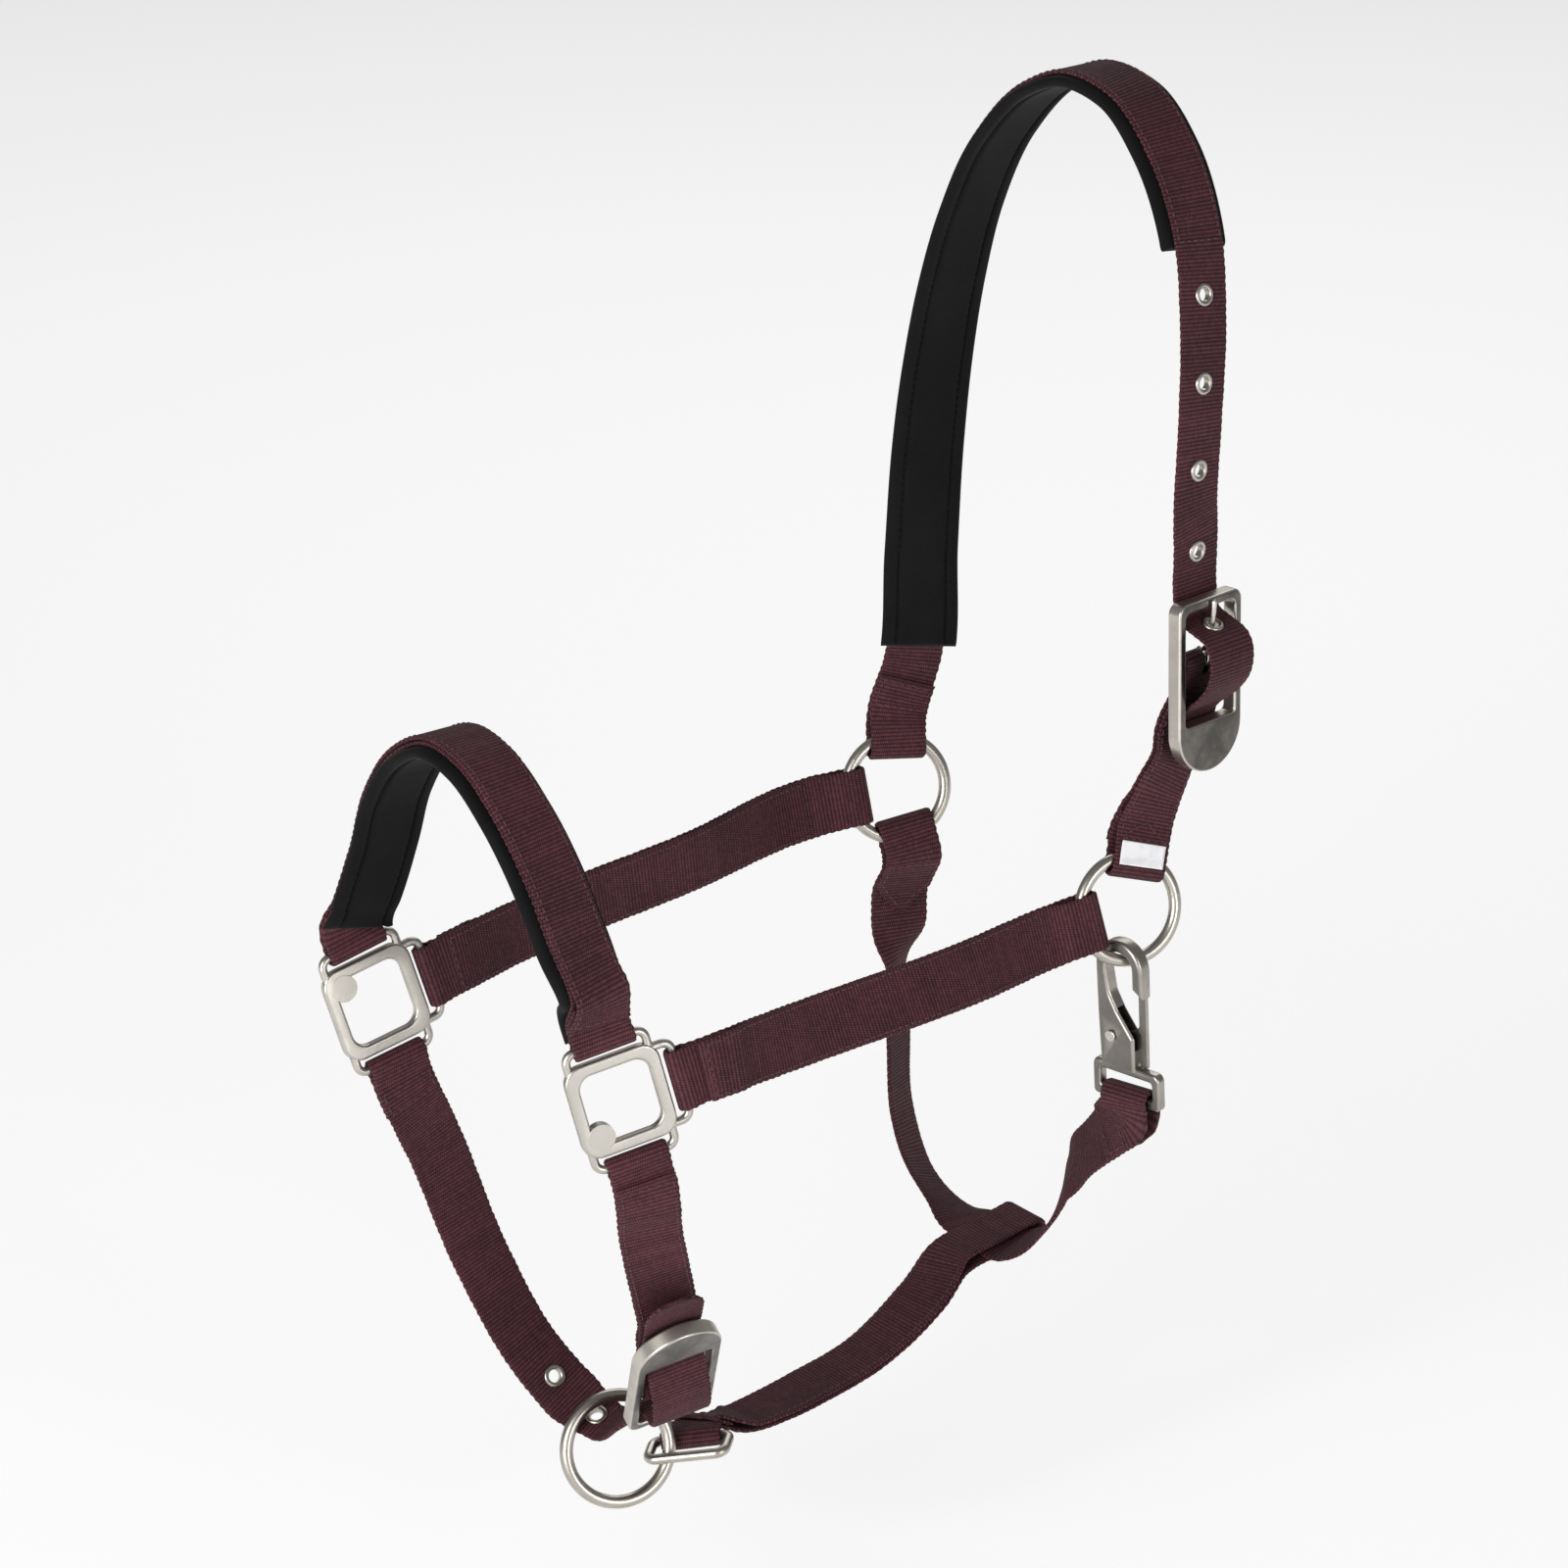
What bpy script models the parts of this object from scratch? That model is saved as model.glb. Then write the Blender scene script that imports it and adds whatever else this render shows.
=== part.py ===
"""A horse's headcollar of nylon webbing with a padded crown and noseband.

Metres, +Z up, +X toward the horse's left (the near side), -Y toward its nose.
The origin is on the poll, under the middle of the crown pad.
"""
import math

import bmesh
import bpy
import numpy as np
from mathutils import Matrix, Vector

for existing in list(bpy.data.objects):
    bpy.data.objects.remove(existing)

MM = 0.001

# Webbing and padding
WEB_WIDTH = 26.0 * MM
WEB_THICKNESS = 1.8 * MM
RING_LOOP_WIDTH = 24.4 * MM
PAD_WIDTH = 34.0 * MM
PAD_THICKNESS = 5.0 * MM
PAD_START = 16.0 * MM
PAD_EASE = 12.0 * MM
PAD_COLUMNS = ((-1.0, 0.55), (-0.82, 1.0), (-0.647, 0.74), (-0.25, 1.0),
               (0.25, 1.0), (0.647, 0.74), (0.82, 1.0), (1.0, 0.55))
FIT = 0.3 * MM
PLY = WEB_THICKNESS + FIT
LOOP_FIT = 0.1 * MM
EYE_FIT = 0.7 * MM
CORNER_SAG = 0.9 * MM
MOUTH = 15.0 * MM
SINGLE_LEAD = 4.0 * MM
LAP_LEAD = 2.0 * MM
LAP_RISE = 8.0 * MM
SEWN_TAIL = 22.0 * MM
PLY_END = 9.5 * MM
BAIL_LEAD = 9.0 * MM
EYE_LEAD = 12.0 * MM
THROAT_TAIL = 44.0 * MM
JAW_SLACK = 3.5 * MM
STRAP_EASE = 0.8 * MM
CHIN_PINCH = 5.0 * MM
PINCH_REACH = 22.0 * MM
ROW_PITCH = 7.5 * MM
CHEEK_PITCH = 11.0 * MM
CHIN_PITCH = 4.5 * MM
JAW_PITCH = 9.75 * MM
TURN_ROWS = 8
LACED_PITCH = 2.6 * MM

# Rings and link
RING_RADIUS = 21.6 * MM
RING_WIRE = 2.6 * MM
CHIN_RING_RADIUS = 22.2 * MM
CHIN_RING_WIRE = 2.8 * MM
RING_FACETS = 36
LINK_LENGTH = 33.0 * MM
LINK_DEPTH = 15.0 * MM
LINK_WIRE = 2.2 * MM
LINK_CORNER = 4.0 * MM

# Halter square
SQUARE_HALF = 20.0 * MM
SQUARE_BAR = 4.2 * MM
SQUARE_THICKNESS = 4.4 * MM
SQUARE_CORNER = 5.0 * MM
WINDOW_CORNER = 2.5 * MM
BAIL_HALF = 16.2 * MM
BAIL_SEAT = 25.4 * MM
BAIL_BAR = 2.2 * MM
BAIL_CORNER = 2.6 * MM
DISC_RADIUS = 5.6 * MM
DISC_PLACE = 11.5 * MM
DISC_THICKNESS = SQUARE_THICKNESS + 0.6 * MM
METAL_BEVEL = 0.9 * MM

# Buckle, measured from its centre bar
BUCKLE_TOP = 26.0 * MM
BUCKLE_TOP_BAR = 5.5 * MM
BUCKLE_HALF = 18.6 * MM
BUCKLE_RAIL = 4.0 * MM
BUCKLE_PLATE_TOP = 27.0 * MM
BUCKLE_PLATE_CENTRE = 30.0 * MM
BUCKLE_THICKNESS = 5.0 * MM
BUCKLE_BAR = 1.8 * MM
BUCKLE_CORNER = 4.5 * MM
BUCKLE_THROAT_CORNER = 3.0 * MM
BUCKLE_PLATE_CORNER = 2.0 * MM
PRONG_WIRE = 1.4 * MM
PRONG_EYE = BUCKLE_BAR + FIT + PRONG_WIRE
PRONG_LENGTH = 27.5 * MM
PRONG_SHAFT = (6.0 * MM, 14.0 * MM, 22.0 * MM)
PRONG_REST = 24.0 * MM
PRONG_CURL = (-35, -270)
PRONG_SLOT = 5.6 * MM
PRONG_SLOT_LENGTH = 8.5 * MM

# Eyelet
EYELET_BORE = 2.7 * MM
EYELET_BARREL = 3.3 * MM
EYELET_FLANGE = 4.7 * MM
EYELET_STEPS = 12
PUNCH_LENGTH = 4.0 * MM
EYELET_CREST = 3.6 * MM
EYELET_GAP = 0.25 * MM
EYELET_LIP = 0.35 * MM
EYELET_RISE = 0.6 * MM
EYELET_EDGE = 0.1 * MM
FLAT = EYELET_FLANGE + 0.6 * MM
FLAT_CLEAR = FLAT + 1.0 * MM

# Snap hook, measured from the bar of its eye; outlines are x, y and corner radius in millimetres
HOOK_THICKNESS = 7.0 * MM
HOOK_BEVEL = 1.5 * MM
EYE_THICKNESS = 4.8 * MM
EYE_BAR = 2.2 * MM
EYE_SLOT_HALF = 13.6 * MM
EYE_SLOT_DEPTH = 8.0 * MM
EYE_SLOT_CORNER = 1.0 * MM
EYE_OUTLINE = ((-17.6, -2.2, 2.2), (17.6, -2.2, 2.2), (17.6, 12, 4), (10.5, 19, 2), (-13, 19, 2),
               (-17.6, 12, 4))
SHANK_OUTLINE = ((10.5, 15, 0), (10.5, 19, 1), (4, 27.5, 2), (-8.4, 27.5, 2.5), (-8.4, 40, 0))
HEEL_OUTLINE = ((-13.8, 40, 0), (-14, 15, 0))
BEND_CENTRE = (-1.6 * MM, 54.5 * MM)
BEND_INNER = 6.8 * MM
BEND_OUTER = 12.2 * MM
FORK_SLOT = 4.4 * MM
FORK_LOW = (-11.0 * MM, 17.6 * MM)
FORK_HIGH = (14.0 * MM, 30.0 * MM)
RIVET_RADIUS = 1.5 * MM
RIVET_HEAD = 2.5 * MM
RIVET_HEAD_HEIGHT = 0.9 * MM
RIVET_PLACE = (-6.0 * MM, 23.0 * MM)
GATE_THICKNESS = 1.8 * MM
GATE_BEVEL = 0.4 * MM
GATE_TIP_CORNER = 1.0 * MM
GATE_OFFSET = -1.1 * MM
GATE_TIP_RADIUS = 29.4 * MM
GATE_INNER = 11.6 * MM
GATE_OUTER = 16.2 * MM
NOSE_GAP = 0.45 * MM
GATE_ARM = ((-3.2, 2.9, 2.8), (-3.2, -3.0, 2.8), (13.5, -3.6, 2.0), (16.2, 2.0, 1.5))
GATE_CROOK = ((11.6, 6.5, 2.0), (8.0, 2.8, 2.0))
SPRING_WIRE = 0.25 * MM
SPRING_RADIUS = 2.5 * MM
SPRING_TURNS = 1.5
SPRING_PITCH = 0.96 * MM
SPRING_FOOT = 0.3 * MM
SPRING_LEGS = ((-4.4, -2.7), (4.0, 2.9))

# Label sewn into the crown chape
LABEL_WIDTH = 20.0 * MM
LABEL_LENGTH = 9.5 * MM
LABEL_THICKNESS = 0.4 * MM
LABEL_PLACE = 11.5 * MM
LABEL_EASE = 4.0 * MM

BURGUNDY = (0.115, 0.012, 0.022)
BLACK = (0.016, 0.016, 0.018)
NICKEL = (0.52, 0.49, 0.45)
WHITE = (0.85, 0.85, 0.83)


def millimetres(*values):
    return Vector(values) * MM


def placing(centre, across, along):
    """A frame at a point: X across, Y along, Z out of the face that they span."""
    x = Vector(across).normalized()
    z = x.cross(Vector(along)).normalized()
    y = z.cross(x)
    return Matrix.Translation(millimetres(*centre)) @ Matrix((x, y, z)).transposed().to_4x4()


# Hardware places: centre in millimetres, then the X and Y directions of the piece's own face.
# The off square is the near casting turned over about its fore and aft line.
NEAR_SQUARE = placing((66, -288, -348), (0.33, 0.91, 0.24), (-0.16, -0.20, 0.97))
OFF_SQUARE = placing((-66, -312, -343), (0.13, 0.96, 0.25), (0.22, 0.285, -0.975))
NEAR_RING = placing((74, -34, -327), (0.24, 0.97, 0.0), (-0.20, 0.05, 0.98))
OFF_RING = placing((-74, -37, -318), (0.375, 0.927, 0.0), (-0.20, 0.08, 0.975))
CHIN_RING = placing((-5.5, -237.3, -541.6), (0.35, 0.93, -0.11), (-0.26, 0.13, 0.957))
CROWN_BUCKLE = placing((81, -2, -222), (-0.12, 0.99, 0.0), (-0.02, 0.0, 1.0))
CHIN_BUCKLE = placing((44, -247.5, -489.5), (-0.26, -0.94, -0.21), (-0.557, 0.299, -0.776))
LINK = placing((7.6, -210.7, -543.9), (0.74, 0.64, 0.20), (-0.56, 0.82, 0.12))
HOOK = placing((78, -34.8, -404.8), (0.985, 0.17, 0.0), (0.03, -0.06, 0.99))

OFF_CHEEK_ANGLE = math.radians(187)
OFF_CROWN_ANGLE = math.radians(86)
OFF_THROAT_ANGLE = math.radians(280)
NEAR_CHEEK_ANGLE = math.radians(190)
NEAR_CHAPE_ANGLE = math.radians(74)

# Routes of the straps: points in millimetres and the direction across the strap there.
NOSE_ROUTE = (
    ((65, -297.5, -301), (0.0, -1.0, -0.12)),
    ((56, -301.5, -278), (0.0, -1.0, -0.06)),
    ((44, -304, -255), (0.0, -1.0, -0.03)),
    ((28, -307, -233), (0.0, -1.0, 0.0)),
    ((8, -309, -217), (0.0, -1.0, 0.0)),
    ((-14, -310, -213), (0.0, -1.0, 0.0)),
    ((-36, -311, -224), (0.0, -1.0, 0.0)),
    ((-53, -312, -247), (0.0, -1.0, 0.0)),
    ((-63, -312, -273), (0.0, -1.0, -0.05)),
    ((-69, -316.5, -297), (-0.05, -1.0, -0.18)),
)
NEAR_CHEEK_ROUTE = (
    ((74, -200, -338.5), (-0.40, -0.04, 0.91)),
    ((74, -120, -334.5), (-0.42, -0.05, 0.90)),
)
OFF_CHEEK_ROUTE = (
    ((-70, -240, -332.5), (0.15, 0.05, -0.98)),
    ((-73, -150, -325), (0.05, 0.05, -1.0)),
)
CROWN_ROUTE = (
    ((-77, -26, -265), (0.33, 0.94, 0.0)),
    ((-79, -22, -215), (0.22, 0.97, 0.0)),
    ((-79, -19, -170), (0.18, 0.98, 0.0)),
    ((-77, -16, -133), (0.12, 0.99, 0.0)),
    ((-71, -14, -97), (0.06, 1.0, 0.0)),
    ((-61, -12, -62), (0.0, 1.0, 0.0)),
    ((-43, -9, -26), (0.0, 1.0, 0.0)),
    ((-21, -4, -2), (0.0, 1.0, 0.0)),
    ((0, 1, 7), (0.0, 1.0, 0.0)),
    ((22, 6, 2), (0.0, 1.0, 0.0)),
    ((43, 8, -17), (0.0, 1.0, 0.0)),
    ((61, 7.5, -48), (-0.05, 1.0, 0.0)),
    ((72, 2.5, -85), (-0.08, 1.0, 0.0)),
    ((77, -2.5, -123), (-0.12, 0.99, 0.0)),
    ((78, -5, -158), (-0.12, 0.99, 0.0)),
)
CROWN_CHAPE_ROUTE = (
    ((71.8, -16, -281), (-0.08, -0.98, 0.12)),
)
CHIN_CROSSING = (-9, -240, -530.5)
CHIN_ROUTE = (
    ((-60, -288, -411), (0.10, 0.98, 0.15)),
    ((-53, -270, -465), (0.06, 0.98, 0.10)),
    ((-38, -254, -507), (-0.08, 0.90, 0.42)),
    ((-26.5, -244.5, -524), (-0.16, 0.80, 0.60)),
    (CHIN_CROSSING, (-0.29, 0.87, 0.40)),
    ((7.5, -238, -522), (-0.03, 0.98, 0.24)),
)
CHIN_CHAPE_ROUTE = (
    ((68.5, -275, -410), (0.45, 0.85, 0.20)),
    ((61.5, -264, -440), (0.33, 0.92, 0.20)),
)
JAW_CROSSING = (-3, -40.5, -498)
THROAT_ROUTE = (
    ((-74, -34, -368), (0.20, 0.97, 0.0)),
    ((-73, -35, -395), (-0.25, 0.96, 0.0)),
    ((-71, -36, -432), (-0.45, 0.89, 0.0)),
    ((-66, -38, -463), (-0.50, 0.86, 0.0)),
    ((-54, -38, -485), (-0.42, 0.90, 0.0)),
    ((-32, -37.5, -497), (-0.33, 0.93, 0.15)),
    ((-17, -39, -498), (-0.30, 0.93, 0.20)),
    (JAW_CROSSING, (-0.30, 0.93, 0.20)),
    ((12, -40.2, -497.4), (-0.30, 0.93, 0.20)),
    ((19.5, -37, -493), (-0.33, 0.90, 0.17)),
    ((23.6, -32, -485.5), (-0.56, 0.82, -0.04)),
    ((27.2, -29, -471), (-0.73, 0.64, -0.21)),
    ((33.3, -30, -456), (-0.80, 0.58, -0.15)),
    ((42.7, -33, -441), (-0.90, 0.43, -0.05)),
    ((57.4, -35.3, -430), (-0.95, 0.28, 0.08)),
)
JAW_ROUTE = (
    ((2, -172, -543), (0.97, 0.15, 0.0)),
    ((0, -146, -540), (1.0, 0.05, 0.0)),
    ((1, -112, -532), (1.0, 0.05, 0.0)),
    ((0, -80, -514.5), (0.97, 0.15, 0.0)),
)

CROWN_PAD_START = 46.0 * MM
CROWN_PAD_STOP = (62, 7, -56)

# How a strap laces its buckle, in the buckle's plane: along the buckle, then out of its face.
LACING = (
    (44, -4.2), (31, -4.8), (24.5, -4.4), (20.0, -3.9), (17.2, -2.9), (15.6, -0.6), (14.0, 4.0),
    (12.4, 8.6), (10.6, 12.0), (6.5, 15.2), (0, 16.2), (-7, 14.4), (-14, 9.0), (-19.2, 3.0),
    (-22.8, -1.8), (-26.2, -4.6), (-31, -5.2),
)
CHAPE_LACING = ((-42, -9.8), (-30, -9.4), (-18, -5.8), (-8, -1.6), (0, 0))
LACED_EYELET = (14.0, 4.0)
CROWN_EYELETS = (0.0, 35.6, 71.2, 106.8, 142.4)
CROWN_TAIL = ((-45, -4.8),)
CHIN_EYELETS = (0.0, 67.0, 92.5)
CHIN_TAIL = ((-45, -4.9), (-64, -5.0))


class Route:
    """A smooth centre line through stations, with the direction across the strap along it."""

    SAMPLE = 1.0 * MM

    def __init__(self, stations):
        points = np.array([station[0] for station in stations], float)
        across = np.array([station[1] for station in stations], float)
        across /= np.linalg.norm(across, axis=1)[:, None]
        knots = np.concatenate(([0.0], np.cumsum(np.linalg.norm(np.diff(points, axis=0), axis=1))))
        fine = np.linspace(0.0, knots[-1], int(knots[-1] / self.SAMPLE) + 2)
        self.points = self.curve(points, knots, fine)
        self.across = self.curve(across, knots, fine)
        steps = np.linalg.norm(np.diff(self.points, axis=0), axis=1)
        self.arc = np.concatenate(([0.0], np.cumsum(steps)))
        self.tangents = np.gradient(self.points, self.arc, axis=0)
        self.length = self.arc[-1]

    @staticmethod
    def curve(values, knots, places):
        """Cubic curve through values at knots, its slopes taken from the neighbours."""
        spans = np.diff(knots)[:, None]
        chords = np.diff(values, axis=0) / spans
        slopes = np.empty_like(values)
        slopes[0] = chords[0]
        slopes[-1] = chords[-1]
        weights = spans[:-1] + spans[1:]
        slopes[1:-1] = (chords[:-1] * spans[1:] + chords[1:] * spans[:-1]) / weights
        index = np.clip(np.searchsorted(knots, places) - 1, 0, len(spans) - 1)
        span = spans[index]
        t = ((places - knots[index])[:, None]) / span
        start, stop = values[index], values[index + 1]
        rise = slopes[index] * span
        fall = slopes[index + 1] * span
        return (start * (2 * t**3 - 3 * t**2 + 1) + rise * (t**3 - 2 * t**2 + t)
                + stop * (3 * t**2 - 2 * t**3) + fall * (t**3 - t**2))

    def at(self, arc):
        """Point, tangent, across and outward directions at an arc length."""
        sample = [np.array([np.interp(arc, self.arc, table[:, axis]) for axis in range(3)])
                  for table in (self.points, self.tangents, self.across)]
        point, tangent, across = (Vector(value) for value in sample)
        tangent.normalize()
        across = (across - tangent * across.dot(tangent)).normalized()
        return point, tangent, across, tangent.cross(across)

    def nearest(self, point):
        """Arc length of the sample closest to a point."""
        gaps = np.linalg.norm(self.points - np.array(point), axis=1)
        return float(self.arc[int(gaps.argmin())])


def stations(rows):
    """A route's own points, in metres."""
    return [(millimetres(*point), Vector(across)) for point, across in rows]


def ring_end(frame, radius, angle, flip=1.0):
    """Two stations that lead a strap off a ring: its seat on the wire, and a point farther out."""
    outward = (frame.to_3x3() @ Vector((math.cos(angle), math.sin(angle), 0.0))).normalized()
    axis = (frame.to_3x3() @ Vector((-math.sin(angle), math.cos(angle), 0.0))).normalized() * flip
    seat = math.sqrt(radius**2 - (RING_LOOP_WIDTH / 2) ** 2) - CORNER_SAG
    return [(frame.translation + outward * seat, axis),
            (frame.translation + outward * (radius + BAIL_LEAD), axis)]


def bail_end(frame, direction, flip=1.0):
    """Two stations that lead a strap off a bail of a square."""
    outward = (frame.to_3x3() @ Vector((*direction, 0.0))).normalized()
    axis = (frame.to_3x3() @ Vector((-direction[1], direction[0], 0.0))).normalized() * flip
    return [(frame.translation + outward * BAIL_SEAT, axis),
            (frame.translation + outward * (BAIL_SEAT + BAIL_LEAD), axis)]


def laced(frame, rows, flip=1.0):
    """Stations of a strap's passage through a buckle."""
    axis = frame.to_3x3() @ Vector((flip, 0.0, 0.0))
    return [(frame @ millimetres(0.0, along, out), axis) for along, out in rows]


def eased(value):
    value = min(max(value, 0.0), 1.0)
    return value * value * (3.0 - 2.0 * value)


def seat(route, arc):
    """The flat place on a strap where an eyelet sits."""
    low, high = route.at(arc - FLAT), route.at(arc + FLAT)
    tangent = (high[0] - low[0]).normalized()
    across = (low[2] + high[2]).normalized()
    outward = tangent.cross(across).normalized()
    matrix = Matrix((outward.cross(tangent), tangent, -outward)).transposed().to_4x4()
    matrix.translation = (low[0] + high[0]) / 2
    return matrix


class Loop:
    """The end of a strap folded round a bar or a ring's wire."""

    def __init__(self, wire, hold=0.0, back=SEWN_TAIL, width=WEB_WIDTH):
        self.radius = wire + FIT + WEB_THICKNESS / 2
        self.hold = hold
        self.back = back
        self.width = width

    def spread(self, distance):
        """Half the space between the centres of the two plies, so far from the bar."""
        closed = PLY / 2
        return self.radius + (closed - self.radius) * eased((distance - self.hold) / MOUTH)


BAIL_LOOP = Loop(BAIL_BAR)
RING_LOOP = Loop(RING_WIRE + LOOP_FIT, hold=7.0 * MM, back=30.0 * MM, width=RING_LOOP_WIDTH)
BUCKLE_LOOP = Loop(BUCKLE_BAR)
EYE_LOOP = Loop(EYE_BAR + EYE_FIT, hold=1.0 * MM, back=30.0 * MM, width=RING_LOOP_WIDTH)
LINK_LOOP = Loop(LINK_WIRE + LOOP_FIT)
STRAP_LOOP = Loop(WEB_THICKNESS / 2 + STRAP_EASE, hold=36.0 * MM, width=RING_LOOP_WIDTH)


class Strap:
    """Rows of a strap along a route: point, across, width and whether the prong's slot is there."""

    def __init__(self, route, first=None, last=None, pitch=ROW_PITCH):
        self.route = route
        self.first = first
        self.last = last
        self.pitch = pitch
        self.pinch = 0.0
        self.pinched = 0.0
        self.rows = []

    def spread(self, arc):
        near_first = self.first.spread(arc) if self.first else PLY / 2
        near_last = self.last.spread(self.route.length - arc) if self.last else PLY / 2
        return max(near_first, near_last)

    def single(self, arc):
        """Height of the main ply where the strap is doubled only beside its first bar."""
        return self.spread(arc) * (1.0 - eased((arc - self.first.back - SINGLE_LEAD) / MOUTH))

    def width(self, arc):
        width = WEB_WIDTH - self.pinch * (1.0 - eased(abs(arc - self.pinched) / PINCH_REACH))
        for loop, distance in ((self.first, arc), (self.last, self.route.length - arc)):
            if loop:
                width += (loop.width - WEB_WIDTH) * (1.0 - eased((distance - loop.hold) / MOUTH))
        return width

    def ply(self, start, stop, level, slot=False, tip=None, flats=()):
        """Add rows from one arc length to another, at a height above the route given by level.

        The strap lies flat from one row to the next under each eyelet.
        """
        count = max(2, math.ceil(abs(stop - start) / self.pitch) + 1)
        places = list(np.linspace(start, stop, count))
        level_rows = {}
        for flat in flats:
            if start < flat - FLAT and flat + FLAT < stop:
                places = [place for place in places if abs(place - flat) > FLAT_CLEAR]
                places = sorted(places + [flat - FLAT, flat + FLAT])
                matrix = seat(self.route, flat)
                across = matrix.col[0].to_3d()
                for side in (-FLAT, FLAT):
                    level_rows[flat + side] = (matrix @ Vector((0.0, side, 0.0)), across)
        if tip:
            ends = [stop + (start - stop) / abs(stop - start) * offset for offset, _ in tip]
            places = [place for place in places if abs(place - stop) > tip[0][0]] + ends
        for index, arc in enumerate(places):
            point, _, across, outward = self.route.at(arc)
            width = self.width(arc)
            tapered = index - (len(places) - len(tip)) if tip else -1
            if tapered >= 0:
                width *= tip[tapered][1]
            if arc in level_rows:
                point, across = level_rows[arc]
            in_slot = slot and self.route.length - arc < PRONG_SLOT_LENGTH
            self.rows.append((point + outward * level(arc), across, width, in_slot))
        return self

    def turn(self, at_last, side, slot=False):
        """Add the half turn round the bar at one end, from one side of the route to the other."""
        loop = self.last if at_last else self.first
        point, tangent, across, outward = self.route.at(self.route.length if at_last else 0.0)
        ahead = tangent if at_last else -tangent
        for step in range(1, TURN_ROWS):
            angle = math.pi * step / TURN_ROWS
            offset = outward * (side * math.cos(angle)) + ahead * math.sin(angle)
            self.rows.append((point + offset * loop.radius, across, loop.width, slot))
        return self

    def band(self, side=1.0, slot=False):
        """A closed band round both bars, its outer end sewn over its tail beside the first bar."""
        length = self.route.length

        def outer(arc):
            lap = 1.0 - eased((arc - SEWN_TAIL - LAP_LEAD) / LAP_RISE)
            return side * (self.spread(arc) + PLY * lap)

        self.ply(SEWN_TAIL, 0.0, lambda arc: side * self.spread(arc), slot)
        self.turn(False, side)
        self.ply(0.0, length, lambda arc: -side * self.spread(arc), slot)
        self.turn(True, -side, slot)
        self.ply(length, PLY_END, outer, slot)
        return self


ROUND_TIP = ((10.0 * MM, 1.0), (6.0 * MM, 0.90), (3.0 * MM, 0.70), (0.9 * MM, 0.40), (0.0, 0.18))
POINT_TIP = ((14.0 * MM, 1.0), (9.0 * MM, 0.84), (4.0 * MM, 0.42), (0.0, 0.08))

PARTS = bpy.data.collections.new("headcollar")
CUTTERS = bpy.data.collections.new("cutters")


def material(name, colour, roughness, metallic):
    made = bpy.data.materials.new(name)
    made.use_nodes = True
    shader = made.node_tree.nodes["Principled BSDF"]
    shader.inputs["Base Color"].default_value = (*colour, 1.0)
    shader.inputs["Roughness"].default_value = roughness
    shader.inputs["Metallic"].default_value = metallic
    return made


def piece(name, data, finish, matrix=None):
    """A named object of the headcollar with its own material."""
    body = bpy.data.objects.new(name, data)
    body.matrix_world = matrix or Matrix.Identity(4)
    data.materials.append(material(name, *finish))
    PARTS.objects.link(body)
    return body


def cutter(name, data, matrix=None):
    body = bpy.data.objects.new(name, data)
    body.matrix_world = matrix or Matrix.Identity(4)
    body.hide_render = True
    body.display_type = "WIRE"
    CUTTERS.objects.link(body)
    return body


def boolean(body, tool, operation, solver="EXACT"):
    modifier = body.modifiers.new(tool.name, "BOOLEAN")
    modifier.operation = operation
    modifier.solver = solver
    modifier.object = tool


def ribbon(name, rows, finish, thickness=WEB_THICKNESS, slotted=False):
    """A strap made from its middle surface: rows of points, thickened both ways."""
    mesh = bpy.data.meshes.new(name)
    bm = bmesh.new()
    grid = []
    for point, across, width, _ in rows:
        half_slot = PRONG_SLOT / 2
        columns = (-width / 2, -half_slot, half_slot, width / 2) if slotted else (-width / 2, width / 2)
        grid.append([bm.verts.new(point + across * column) for column in columns])
    for (low, high, this, following) in zip(grid, grid[1:], rows, rows[1:]):
        for column in range(len(low) - 1):
            if slotted and column == 1 and this[3] and following[3]:
                continue
            bm.faces.new((low[column], low[column + 1], high[column + 1], high[column]))
    bm.to_mesh(mesh)
    bm.free()
    body = piece(name, mesh, finish)
    solid = body.modifiers.new("thickness", "SOLIDIFY")
    solid.thickness = thickness
    solid.offset = 0.0
    solid.use_even_offset = True
    return body


def padding(name, route, reach, start, stop, level):
    """A pad under a strap, row for row: flat against the webbing, drawn in along its two seams."""
    mesh = bpy.data.meshes.new(name)
    bm = bmesh.new()
    weights = bm.verts.layers.deform.verify()
    grid = []
    for arc in np.linspace(0.0, reach, math.ceil(reach / ROW_PITCH) + 1):
        if not start <= arc <= stop:
            continue
        point, _, across, outward = route.at(arc)
        row = []
        for place, weight in PAD_COLUMNS:
            vertex = bm.verts.new(point + outward * level(arc) + across * (place * PAD_WIDTH / 2))
            vertex[weights][0] = weight
            row.append(vertex)
        grid.append(row)
    for low, high in zip(grid, grid[1:]):
        for column in range(len(PAD_COLUMNS) - 1):
            bm.faces.new((low[column], low[column + 1], high[column + 1], high[column]))
    bm.to_mesh(mesh)
    bm.free()
    body = piece(name, mesh, NEOPRENE)
    body.vertex_groups.new(name="fullness")
    solid = body.modifiers.new("thickness", "SOLIDIFY")
    solid.thickness = PAD_THICKNESS
    solid.offset = 1.0
    solid.vertex_group = "fullness"
    solid.use_even_offset = True
    return body


def arc_points(centre, radius, start, stop, count):
    """Points on an arc, its angles in degrees."""
    angles = np.radians(np.linspace(start, stop, count))
    return [(centre[0] + radius * math.cos(angle), centre[1] + radius * math.sin(angle))
            for angle in angles]


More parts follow.
